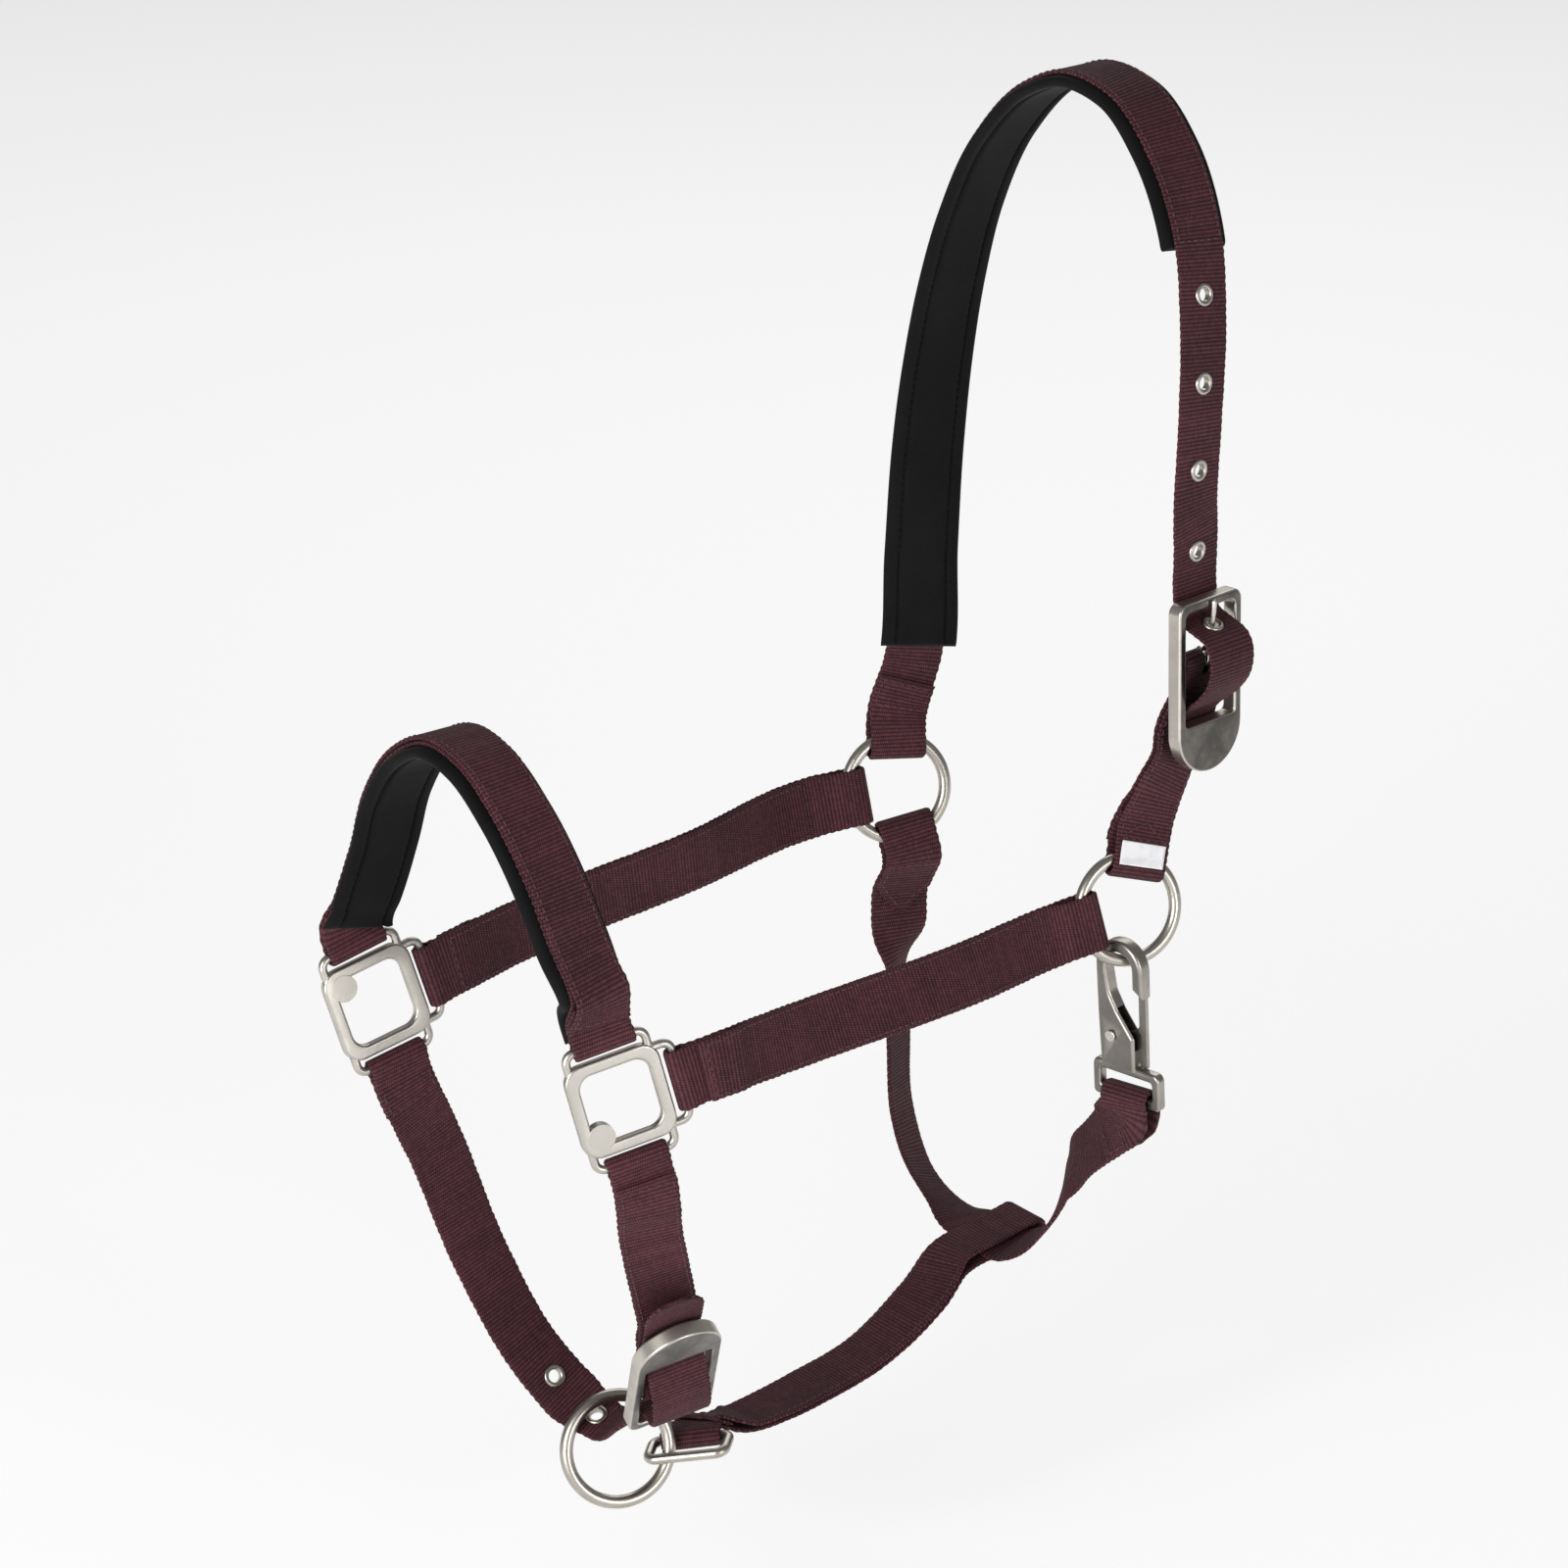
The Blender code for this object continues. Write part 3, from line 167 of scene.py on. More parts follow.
# How squarely a metal surface faces out of its piece before it takes the painted shade of the flats
FLAT_LOW = 0.86
FLAT_HIGH = 0.97

# Snap hook, measured from the bar of its eye; outlines are x, y and corner radius in millimetres
HOOK_THICKNESS = 7.0 * MM
HOOK_BEVEL = 1.8 * MM
EYE_THICKNESS = 4.8 * MM
EYE_BEVEL = 1.2 * MM
EYE_BAR = 2.2 * MM
EYE_SLOT_HALF = 13.6 * MM
EYE_SLOT_DEPTH = 8.0 * MM
EYE_SLOT_CORNER = 1.4 * MM
EYE_OUTLINE = ((-17.6, -2.2, 2.2), (17.6, -2.2, 2.2), (17.6, 14.4, 3.5), (-17.6, 14.4, 3.5))
SHANK_OUTLINE = ((5.4, 12.4, 0), (5.4, 28.0, 2), (2.0, 32.5, 4), (-2.6, 38.5, 7), (-6.8, 46.0, 9),
                 (-8.4, 56.0, 0))
HEEL_OUTLINE = ((-13.7, 50.0, 0), (-13.4, 36.0, 0), (-12.4, 12.4, 0))
BEND_CENTRE = (-1.6 * MM, 58.8 * MM)
BEND_INNER = 6.8 * MM
BEND_OUTER = 12.2 * MM
FORK_SLOT = 4.4 * MM
FORK_LOW = (-10.6 * MM, 22.6 * MM)
FORK_HIGH = (14.0 * MM, 40.0 * MM)
RIVET_RADIUS = 1.5 * MM
RIVET_HEAD = 2.5 * MM
RIVET_HEAD_HEIGHT = 0.9 * MM
RIVET_PLACE = (-6.0 * MM, 27.3 * MM)
GATE_THICKNESS = 1.8 * MM
GATE_BEVEL = 0.45 * MM
GATE_TIP_CORNER = 1.0 * MM
GATE_OFFSET = -1.1 * MM
GATE_TIP_RADIUS = 25.6 * MM
GATE_INNER = 11.9 * MM
GATE_OUTER = 16.0 * MM
NOSE_GAP = 0.45 * MM
GATE_ARM = ((-3.2, 2.9, 2.8), (-3.2, -3.0, 2.8), (10.0, -4.2, 2.0), (12.4, -12.6, 1.2), (16.0, -12.6, 1.2))
GATE_CROOK = ((11.9, 5.5, 2.0), (8.5, 2.6, 2.0))
SPRING_WIRE = 0.25 * MM
SPRING_RADIUS = 2.5 * MM
SPRING_TURNS = 1.5
SPRING_PITCH = 0.96 * MM
SPRING_FOOT = 0.3 * MM
SPRING_LEGS = ((-4.4, -2.7), (4.0, 2.9))

# Label sewn into the crown chape
LABEL_WIDTH = 20.0 * MM
LABEL_LENGTH = 10.0 * MM
LABEL_THICKNESS = 0.3 * MM
LABEL_PLACE = 1.0 * MM
LABEL_EASE = 4.0 * MM
LABEL_CURL = 0.5 * MM

# The view: the middle of what is seen, and how the camera stands to it
SIGHT = Vector((0.0, -0.1548, -0.2663))
SIGHT_AZIMUTH = math.radians(52)
SIGHT_ELEVATION = math.radians(21)
SIGHT_DISTANCE = 3.2
SIGHT_WIDTH = 1600 / 2520
SENSOR = 36.0
FLOOR_DROP = 0.06
FLOOR_SIZE = 14.0
FLOOR_GLOW = 0.45
AIR_STRENGTH = 0.24
# Soft boxes: name, place to the right of the middle, toward the camera and up, size, watts
SOFT_BOXES = (
    ("key_light", -1.6, 2.4, 0.55, (1.5, 1.8), 66.0),
    ("fill_light", 1.7, 2.3, 0.35, (1.0, 1.6), 24.0),
    ("back_light", 0.3, -2.0, 1.6, (2.0, 1.2), 14.0),
)


def millimetres(*values):
    return Vector(values) * MM


def placing(centre, across, along):
    """A frame at a point: X across, Y along, Z out of the face that they span."""
    x = Vector(across).normalized()
    z = x.cross(Vector(along)).normalized()
    y = z.cross(x)
    return Matrix.Translation(millimetres(*centre)) @ Matrix((x, y, z)).transposed().to_4x4()


# Hardware places: centre in millimetres, then the X and Y directions of the piece's own face
NEAR_SQUARE = placing((66, -288, -348), (0.33, 0.91, 0.24), (-0.16, -0.20, 0.97))
OFF_SQUARE = placing((-66, -312, -343), (0.13, 0.96, 0.25), (0.22, 0.285, -0.975))
NEAR_RING = placing((74, -34, -327), (0.24, 0.97, 0.0), (-0.20, 0.05, 0.98))
OFF_RING = placing((-74, -37, -318), (0.375, 0.927, 0.0), (-0.20, 0.08, 0.975))
CHIN_RING = placing((-5.5, -237.3, -541.6), (0.35, 0.93, -0.11), (-0.26, 0.13, 0.957))
CROWN_BUCKLE = placing((81, -2, -222), (-0.12, 0.99, 0.0), (-0.02, 0.0, 1.0))
CHIN_BUCKLE = placing((44, -247.5, -489.5), (-0.26, -0.94, -0.21), (-0.557, 0.299, -0.776))
LINK = placing((7.6, -210.7, -543.9), (0.74, 0.64, 0.20), (-0.56, 0.82, 0.12))
HOOK = placing((77.87, -34.54, -409.06), (0.985, 0.17, 0.0), (0.03, -0.06, 0.99))

OFF_CHEEK_ANGLE = math.radians(187)
OFF_CROWN_ANGLE = math.radians(86)
OFF_THROAT_ANGLE = math.radians(280)
NEAR_CHEEK_ANGLE = math.radians(190)
NEAR_CHAPE_ANGLE = math.radians(74)
NEAR_WELD = math.radians(5)
OFF_WELD = math.radians(140)
CHIN_WELD = math.radians(255)

# Routes of the straps: points in millimetres and the direction across the strap there
NOSE_ROUTE = (
    ((65, -297.5, -301), (0.0, -1.0, -0.12)),
    ((56, -301.5, -278), (0.0, -1.0, -0.06)),
    ((44, -304, -255), (0.0, -1.0, -0.03)),
    ((28, -307, -233), (0.0, -1.0, 0.0)),
    ((8, -309, -217), (0.0, -1.0, 0.0)),
    ((-14, -310, -213), (0.0, -1.0, 0.0)),
    ((-36, -311, -224), (0.0, -1.0, 0.0)),
    ((-53, -312, -247), (0.0, -1.0, 0.0)),
    ((-63, -312, -273), (0.0, -1.0, -0.05)),
    ((-69, -316.5, -297), (-0.05, -1.0, -0.18)),
)
NEAR_CHEEK_ROUTE = (
    ((74, -200, -338.5), (-0.40, -0.04, 0.91)),
    ((74, -120, -334.5), (-0.42, -0.05, 0.90)),
)
OFF_CHEEK_ROUTE = (
    ((-70, -240, -332.5), (0.15, 0.05, -0.98)),
    ((-73, -150, -325), (0.05, 0.05, -1.0)),
)
CROWN_ROUTE = (
    ((-77, -26, -265), (0.33, 0.94, 0.0)),
    ((-79, -22, -215), (0.22, 0.97, 0.0)),
    ((-79, -19, -170), (0.18, 0.98, 0.0)),
    ((-77, -16, -133), (0.12, 0.99, 0.0)),
    ((-71, -14, -97), (0.06, 1.0, 0.0)),
    ((-61, -12, -62), (0.0, 1.0, 0.0)),
    ((-43, -9, -26), (0.0, 1.0, 0.0)),
    ((-21, -4, -2), (0.0, 1.0, 0.0)),
    ((0, 1, 7), (0.0, 1.0, 0.0)),
    ((22, 6, 2), (0.0, 1.0, 0.0)),
    ((43, 8, -17), (0.0, 1.0, 0.0)),
    ((61, 7.5, -48), (-0.05, 1.0, 0.0)),
    ((72, 2.5, -85), (-0.08, 1.0, 0.0)),
    ((77, -2.5, -123), (-0.12, 0.99, 0.0)),
    ((78, -5, -158), (-0.12, 0.99, 0.0)),
)
CROWN_CHAPE_ROUTE = (
    ((72.2, -19, -283), (-0.08, -0.98, 0.12)),
)
CHIN_CROSSING = (-9, -240, -530.5)
CHIN_ROUTE = (
    ((-60, -288, -411), (0.10, 0.98, 0.15)),
    ((-53, -270, -465), (0.06, 0.98, 0.10)),
    ((-38, -254, -507), (-0.08, 0.90, 0.42)),
    ((-26.5, -244.5, -524), (-0.16, 0.80, 0.60)),
    (CHIN_CROSSING, (-0.29, 0.87, 0.40)),
    ((7.5, -238, -522), (-0.03, 0.98, 0.24)),
)
CHIN_CHAPE_ROUTE = (
    ((68.5, -275, -410), (0.45, 0.85, 0.20)),
    ((61.5, -264, -440), (0.33, 0.92, 0.20)),
)
JAW_CROSSING = (-3, -40.5, -498)
THROAT_ROUTE = (
    ((-74, -34, -366), (0.28, 0.96, 0.0)),
    ((-73.8, -34.5, -382), (0.20, 0.97, 0.0)),
    ((-73.3, -35, -397), (-0.50, 0.86, 0.0)),
    ((-71, -36, -432), (-0.50, 0.86, 0.0)),
    ((-66, -38, -463), (-0.52, 0.84, -0.10)),
    ((-54, -38, -485), (-0.45, 0.84, -0.30)),
    ((-32, -37.5, -497), (-0.54, 0.84, -0.10)),
    ((-17, -39, -498), (-0.38, 0.91, 0.12)),
    (JAW_CROSSING, (-0.30, 0.93, 0.20)),
    ((12, -40.2, -497.4), (-0.30, 0.93, 0.20)),
    ((19.5, -37, -493), (-0.33, 0.90, 0.17)),
    ((24.0, -32, -485.5), (-0.56, 0.82, -0.04)),
    ((28.0, -29.5, -473), (-0.73, 0.64, -0.21)),
    ((32.5, -30, -462.5), (-0.80, 0.58, -0.10)),
    ((40.0, -32, -452.5), (-0.84, 0.42, 0.25)),
    ((49.5, -33.5, -442.5), (-0.90, 0.40, 0.17)),
    ((60.0, -34.3, -432.5), (-0.92, 0.27, 0.24)),
    ((70.5, -34.6, -423.0), (-0.95, 0.05, 0.25)),
)
JAW_ROUTE = (
    ((0.5, -182, -543.2), (0.86, 0.50, 0.10)),
    ((1, -163, -542.0), (0.93, 0.34, 0.04)),
    ((0.5, -142, -539.2), (0.98, 0.18, 0.0)),
    ((1, -112, -532), (1.0, 0.05, 0.0)),
    ((0, -80, -514.5), (0.97, 0.15, 0.0)),
)
CROWN_PAD_START = 46.0 * MM
CROWN_PAD_STOP = (62, 7, -56)

# How a strap laces its buckle, in the buckle's plane: along the buckle, then out of its face
LACING = (
    (44, -4.2), (31, -4.8), (24.5, -4.4), (20.0, -3.9), (17.2, -2.7), (15.7, 0.3), (14.0, 5.0),
    (12.4, 9.5), (10.6, 12.6), (6.5, 15.2), (0, 16.0), (-7, 14.2), (-14, 9.0), (-19.2, 3.0),
    (-22.8, -1.8), (-26.2, -4.6), (-31, -5.2),
)
CHIN_LACING = LACING[1:7] + (
    (12.4, 9.3), (9.6, 11.6), (5.5, 12.2), (0, 11.6), (-7, 9.6), (-14, 5.8), (-19.2, 1.8),
) + LACING[14:]
CHAPE_LACING = ((-42, -9.8), (-30, -9.4), (-18, -5.8), (-8, -1.6), (0, 0))
LACED_EYELET = (14.0, 5.0)
CHAPE_LEAN = 6.0
LEAN_START = 8.0
CROWN_EYELETS = (0.0, 35.6, 71.2, 106.8, 142.4)
CROWN_TAIL = ((-45, -4.8),)
CHIN_EYELETS = (0.0, 67.0, 92.5)
CHIN_TAIL = ((-45, -4.9), (-64, -5.0))


class Route:
    """A smooth centre line through stations, with the direction across the strap along it."""

    SAMPLE = 1.0 * MM

    def __init__(self, stations):
        points = np.array([station[0] for station in stations], float)
        across = np.array([station[1] for station in stations], float)
        across /= np.linalg.norm(across, axis=1)[:, None]
        knots = np.concatenate(([0.0], np.cumsum(np.linalg.norm(np.diff(points, axis=0), axis=1))))
        fine = np.linspace(0.0, knots[-1], int(knots[-1] / self.SAMPLE) + 2)
        self.points = self.curve(points, knots, fine)
        self.across = self.curve(across, knots, fine)
        steps = np.linalg.norm(np.diff(self.points, axis=0), axis=1)
        self.arc = np.concatenate(([0.0], np.cumsum(steps)))
        self.tangents = np.gradient(self.points, self.arc, axis=0)
        self.length = self.arc[-1]

    @staticmethod
    def curve(values, knots, places):
        """Cubic curve through values at knots, its slopes taken from the neighbours."""
        spans = np.diff(knots)[:, None]
        chords = np.diff(values, axis=0) / spans
        slopes = np.empty_like(values)
        slopes[0] = chords[0]
        slopes[-1] = chords[-1]
        weights = spans[:-1] + spans[1:]
        slopes[1:-1] = (chords[:-1] * spans[1:] + chords[1:] * spans[:-1]) / weights
        index = np.clip(np.searchsorted(knots, places) - 1, 0, len(spans) - 1)
        span = spans[index]
        t = ((places - knots[index])[:, None]) / span
        start, stop = values[index], values[index + 1]
        rise = slopes[index] * span
        fall = slopes[index + 1] * span
        return (start * (2 * t**3 - 3 * t**2 + 1) + rise * (t**3 - 2 * t**2 + t)
                + stop * (3 * t**2 - 2 * t**3) + fall * (t**3 - t**2))

    def at(self, arc):
        """Point, tangent, across and outward directions at an arc length."""
        sample = [np.array([np.interp(arc, self.arc, table[:, axis]) for axis in range(3)])
                  for table in (self.points, self.tangents, self.across)]
        point, tangent, across = (Vector(value) for value in sample)
        tangent.normalize()
        across = (across - tangent * across.dot(tangent)).normalized()
        return point, tangent, across, tangent.cross(across)

    def nearest(self, point):
        """Arc length of the sample closest to a point."""
        gaps = np.linalg.norm(self.points - np.array(point), axis=1)
        return float(self.arc[int(gaps.argmin())])


def stations(rows):
    """A route's own points, in metres."""
    return [(millimetres(*point), Vector(across)) for point, across in rows]


def ring_end(place, radius, angle, flip=1.0):
    """Two stations that lead a strap off a ring: its seat on the wire, and a point farther out."""
    outward = (place.to_3x3() @ Vector((math.cos(angle), math.sin(angle), 0.0))).normalized()
    axis = (place.to_3x3() @ Vector((-math.sin(angle), math.cos(angle), 0.0))).normalized() * flip
    rest = math.sqrt(radius**2 - (RING_LOOP_WIDTH / 2) ** 2) - CORNER_SAG
    return [(place.translation + outward * rest, axis),
            (place.translation + outward * (radius + BAIL_LEAD), axis)]


def bail_end(place, direction, flip=1.0):
    """Two stations that lead a strap off a bail of a square."""
    outward = (place.to_3x3() @ Vector((*direction, 0.0))).normalized()
    axis = (place.to_3x3() @ Vector((-direction[1], direction[0], 0.0))).normalized() * flip
    return [(place.translation + outward * BAIL_SEAT, axis),
            (place.translation + outward * (BAIL_SEAT + BAIL_LEAD), axis)]


def laced(place, rows, flip=1.0, lean=0.0):
    """Stations of a strap's passage through a buckle, its far end leaning to one side."""
    axis = place.to_3x3() @ Vector((flip, 0.0, 0.0))
    reach = abs(rows[0][0])
    places = []
    for along, out in rows:
        aside = lean * eased((abs(along) - LEAN_START) / (reach - LEAN_START))
        places.append((place @ millimetres(-aside, along, out), axis))
    return places


def eased(value):
    value = min(max(value, 0.0), 1.0)
    return value * value * (3.0 - 2.0 * value)


def seat(route, arc):
    """The flat place on a strap where an eyelet sits."""
    low, high = route.at(arc - FLAT), route.at(arc + FLAT)
    tangent = (high[0] - low[0]).normalized()
    across = (low[2] + high[2]).normalized()
    outward = tangent.cross(across).normalized()
    matrix = Matrix((outward.cross(tangent), tangent, -outward)).transposed().to_4x4()
    matrix.translation = (low[0] + high[0]) / 2
    return matrix


class Loop:
    """The end of a strap folded round a bar or a ring's wire."""

    def __init__(self, wire, hold=0.0, back=SEWN_TAIL, width=WEB_WIDTH, mouth=MOUTH):
        self.mouth = mouth
        self.radius = wire + FIT + WEB_THICKNESS / 2
        self.hold = hold
        self.back = back
        self.width = width

    def spread(self, distance):
        """Half the space between the centres of the two plies, so far from the bar."""
        closed = PLY / 2
        return self.radius + (closed - self.radius) * eased((distance - self.hold) / self.mouth)


BAIL_LOOP = Loop(BAIL_BAR, mouth=BAIL_MOUTH)
RING_LOOP = Loop(RING_WIRE + LOOP_FIT, hold=7.0 * MM, back=30.0 * MM, width=RING_LOOP_WIDTH)
BUCKLE_LOOP = Loop(BUCKLE_BAR)
EYE_LOOP = Loop(EYE_BAR + EYE_FIT, hold=5.0 * MM, back=30.0 * MM, width=RING_LOOP_WIDTH)
LINK_LOOP = Loop(LINK_WIRE + LOOP_FIT)
STRAP_LOOP = Loop(WEB_THICKNESS / 2 + STRAP_EASE, hold=36.0 * MM, width=RING_LOOP_WIDTH)


def round_tip(distance):
    """Width left at a rounded strap end, so far from the end."""
    share = min(distance / (10.0 * MM), 1.0)
    return 0.18 + 0.82 * math.sqrt(1.0 - (1.0 - share) ** 2)


def point_tip(distance):
    """Width left at a pointed strap end, so far from the end."""
    return 0.08 + 0.92 * min(distance / (14.0 * MM), 1.0) ** 0.85


class Strap:
    """Rows of a strap along a route, one for each half rib of its weave."""

    def __init__(self, route, first=None, last=None):
        self.route = route
        self.first = first
        self.last = last
        self.pinch = 0.0
        self.pinched = 0.0
        self.rows = []

    def spread(self, arc):
        near_first = self.first.spread(arc) if self.first else PLY / 2
        near_last = self.last.spread(self.route.length - arc) if self.last else PLY / 2
        return max(near_first, near_last)

    def single(self, arc):
        """Height of the main ply where the strap is doubled only beside its first bar."""
        return self.spread(arc) * (1.0 - eased((arc - self.first.back - SINGLE_LEAD) / MOUTH))

    def lapped(self, arc):
        """Height of a band's outer ply, which is sewn over its tail beside the first bar."""
        return self.spread(arc) + PLY * (1.0 - eased((arc - SEWN_TAIL - LAP_LEAD) / LAP_RISE))

    def width(self, arc):
        width = WEB_WIDTH - self.pinch * (1.0 - eased(abs(arc - self.pinched) / PINCH_REACH))
        for loop, distance in ((self.first, arc), (self.last, self.route.length - arc)):
            if loop:
                width += (loop.width - WEB_WIDTH) * (1.0 - eased((distance - loop.hold) / MOUTH))
        return width

    def ply(self, start, stop, level, slot=False, tip=None, seats=()):
        """Add rows from one arc length to another, at a height above the route given by level."""
        for arc in np.linspace(start, stop, math.ceil(abs(stop - start) / ROW) + 1):
            point, _, across, outward = self.route.at(arc)
            width = self.width(arc) * (tip(abs(stop - arc)) if tip else 1.0)
            for middle, matrix in seats:
                if abs(arc - middle) <= FLAT:
                    point = matrix @ Vector((0.0, arc - middle, 0.0))
                    across = matrix.col[0].to_3d()
            in_slot = slot and self.route.length - arc < PRONG_SLOT_LENGTH
            self.rows.append((point + outward * level(arc), across, width, in_slot))
        return self

    def turn(self, at_last, side, slot=False):
        """Add the half turn round the bar at one end, from one side of the route to the other."""
        loop = self.last if at_last else self.first
        point, tangent, across, outward = self.route.at(self.route.length if at_last else 0.0)
        ahead = tangent if at_last else -tangent
        count = math.ceil(math.pi * loop.radius / ROW)
        for step in range(1, count):
            angle = math.pi * step / count
            offset = outward * (side * math.cos(angle)) + ahead * math.sin(angle)
            self.rows.append((point + offset * loop.radius, across, loop.width, slot))
        return self

    def band(self, side=1.0, slot=False):
        """A closed band round both bars, its outer end sewn over its tail beside the first bar."""
        length = self.route.length
        self.ply(SEWN_TAIL, 0.0, lambda arc: side * self.spread(arc), slot)
        self.turn(False, side)
        self.ply(0.0, length, lambda arc: -side * self.spread(arc), slot)
        self.turn(True, -side, slot)
        self.ply(length, PLY_END, lambda arc: side * self.lapped(arc), slot)
        return self


class Value:
    """A shader socket that takes part in arithmetic."""

    def __init__(self, finish, socket):
        self.finish = finish
        self.socket = socket

    def math(self, operation, *others):
        return self.finish.node("Math", {"operation": operation}, dict(enumerate((self, *others))))

    def __add__(self, other):
        return self.math("ADD", other)

    __radd__ = __add__

    def __sub__(self, other):
        return self.math("SUBTRACT", other)

    def __rsub__(self, other):
        return self * -1.0 + other

    def __mul__(self, other):
        return self.math("MULTIPLY", other)

    __rmul__ = __mul__

    def __pow__(self, other):
        return self.math("POWER", other)

    def wave(self):
        """A smooth wave of this value, from 0 to 1 and back once for each whole number."""
        return (self * (2.0 * math.pi)).math("COSINE") * 0.5 + 0.5

    def floor(self):
        return self.math("FLOOR")

    def between(self, low, high):
        """How far this value is from low to high, held to 0 and 1."""
        return self.finish.node("MapRange", {"interpolation_type": "SMOOTHSTEP"},
                                {"Value": self, "From Min": low, "From Max": high})


class Finish:
    """A material under construction."""

    def __init__(self, name):
        self.material = bpy.data.materials.new(name)
        self.material.use_nodes = True
        self.tree = self.material.node_tree
        self.shader = self.tree.nodes["Principled BSDF"]

    def node(self, kind, settings=None, inputs=None, output=0):
        """Add a node, set it up, and give its sockets values or links."""
        made = self.tree.nodes.new(f"ShaderNode{kind}")
        for name, setting in (settings or {}).items():
            setattr(made, name, setting)
        for name, value in (inputs or {}).items():
            self.feed(made.inputs[name], value)
        return Value(self, made.outputs[output])

    def feed(self, socket, value):
        if isinstance(value, Value):
            self.tree.links.new(value.socket, socket)
        else:
            socket.default_value = value

    def surface(self, **inputs):
        """Give the material's own shader its values or links."""
        for name, value in inputs.items():
            self.feed(self.shader.inputs[name.replace("_", " ")], value)
        return self.material

    def attribute(self, name):
        return self.node("Attribute", {"attribute_name": name}, output=2)

    def noise(self, scale, detail=3.0, stretch=(1.0, 1.0, 1.0), roughness=0.55):
        """Noise in the piece's own space, so many swings to a metre."""
        place = self.node("TexCoord", output=3)
        place = self.node("Mapping", None, {"Vector": place, "Scale": stretch})
        return self.node("TexNoise", None, {"Vector": place, "Scale": scale, "Detail": detail,
                                            "Roughness": roughness})

    def blend(self, share, first, second):
        """A colour between two, by share."""
        return self.node("Mix", {"data_type": "RGBA"}, {0: share, 6: first, 7: second}, output=2)

    def bump(self, height, strength, distance):
        return self.node("Bump", None, {"Height": height, "Strength": strength, "Distance": distance})


def colour(red, green, blue):
    return (red, green, blue, 1.0)


def webbing_finish():
    """Burgundy nylon webbing: crosswise ribs, each of short yarns that step by half a yarn; the raised yarns
    are painted lighter as highlights and the gaps between them darker as painted shade.
    """
    finish = Finish("burgundy_webbing")
    rib = finish.attribute("rib")
    yarn = finish.attribute("yarn")
    crest = rib.wave()
    step = rib.math("ADD", 0.5).floor()
    float_yarn = (yarn + step * 0.5).wave()
    cell = finish.node("CombineXYZ", None, {"X": (yarn + step * 0.5 + 0.5).floor(), "Y": step})
    twist = finish.node("TexWhiteNoise", {"noise_dimensions": "2D"}, {"Vector": cell})
    streak = finish.node("TexWhiteNoise", {"noise_dimensions": "1D"}, {"W": step})
    patches = finish.noise(26.0, 3.0).between(0.32, 0.68)
    fuzz = finish.noise(2600.0, 2.0)
    height = (crest * 0.75 + 0.25) * (float_yarn * 0.60 + 0.40)
    # Painted highlight and shade: the higher the weave, the lighter its colour, with random tone by yarn,
    # row, fuzz and patch mixed in.
    yarn_tone_and_painted_highlight = height * 0.80 + twist * 0.18 + streak * 0.09 + fuzz * 0.20 - 0.16
    yarn_tone_and_painted_highlight = (yarn_tone_and_painted_highlight * (patches * 0.22 + 0.86)).between(0.02, 0.98)
    # The dark end of this blend is painted shade for the gaps between yarns, varied by random patches; the
    # light end is the painted highlight on the raised yarns.
    painted_gap_shade = finish.blend(patches, colour(0.0125, 0.0026, 0.0042), colour(0.0185, 0.0042, 0.0062))
    tone = finish.blend(yarn_tone_and_painted_highlight, painted_gap_shade, colour(0.122, 0.030, 0.043))
    relief = finish.bump(height + fuzz * 0.25, 0.9, 0.32 * MM)
    return finish.surface(Base_Color=tone, Roughness=0.86 - yarn_tone_and_painted_highlight * 0.22, Normal=relief, Sheen_Weight=0.03,
                          Sheen_Roughness=0.45, Specular_IOR_Level=0.30)


def thread_finish():
    """Burgundy sewing thread, its plies twisted together."""
    finish = Finish("burgundy_thread")
    place = finish.node("TexCoord", output=3)
    plies = finish.node("TexWave", {"bands_direction": "DIAGONAL"}, {"Vector": place, "Scale": 420.0,
                                                                   "Distortion": 1.5}, output=1)
    tone = finish.blend(plies, colour(0.030, 0.0065, 0.0095), colour(0.088, 0.025, 0.032))
    return finish.surface(Base_Color=tone, Roughness=0.72 - plies * 0.15,
                          Normal=finish.bump(plies, 0.5, 0.08 * MM), Sheen_Weight=0.15)


def neoprene_finish(name, base, light):
    """Black neoprene faced with a fine knit, a little dusty."""
    finish = Finish(name)
    knit = finish.noise(2300.0, 2.0)
    dust = finish.noise(34.0, 4.0).between(0.35, 0.75)
    tone = finish.blend(dust * 0.55 + knit * 0.35, base, light)
    return finish.surface(Base_Color=tone, Roughness=0.93 - knit * 0.22,
                          Normal=finish.bump(knit + dust * 0.4, 0.42, 0.15 * MM), Sheen_Weight=0.03,
                          Sheen_Roughness=0.5, Specular_IOR_Level=0.13)


def nickel_finish(name, base, tarnish, face, low, high):
    """Satin nickel plate: fine tumbling marks, a little tarnish, and painted shade on the flats, which take
    the face colour while the rims keep the lighter plate colour.
    """
    finish = Finish(name)
    marks = finish.noise(900.0, 4.0, (1.0, 0.16, 1.0), 0.7)
    clouds = finish.noise(95.0, 4.0).between(0.34, 0.70)
    pits = finish.noise(2400.0, 2.0).between(0.60, 0.74)
    tone = finish.blend(clouds * 0.6 + pits * 0.35, base, tarnish)
    # Painted shade: the more squarely a surface faces out of its piece, the more it takes the face colour.
    tone = finish.blend(finish.attribute("flat") * (0.82 + clouds * 0.18), tone, face)
    rough = (marks * 0.55 + clouds * 0.45) * (high - low) + low
    return finish.surface(Base_Color=tone, Metallic=1.0, Roughness=rough,
                          Normal=finish.bump(marks * 0.6 - pits * 0.8, 0.22, 0.05 * MM))


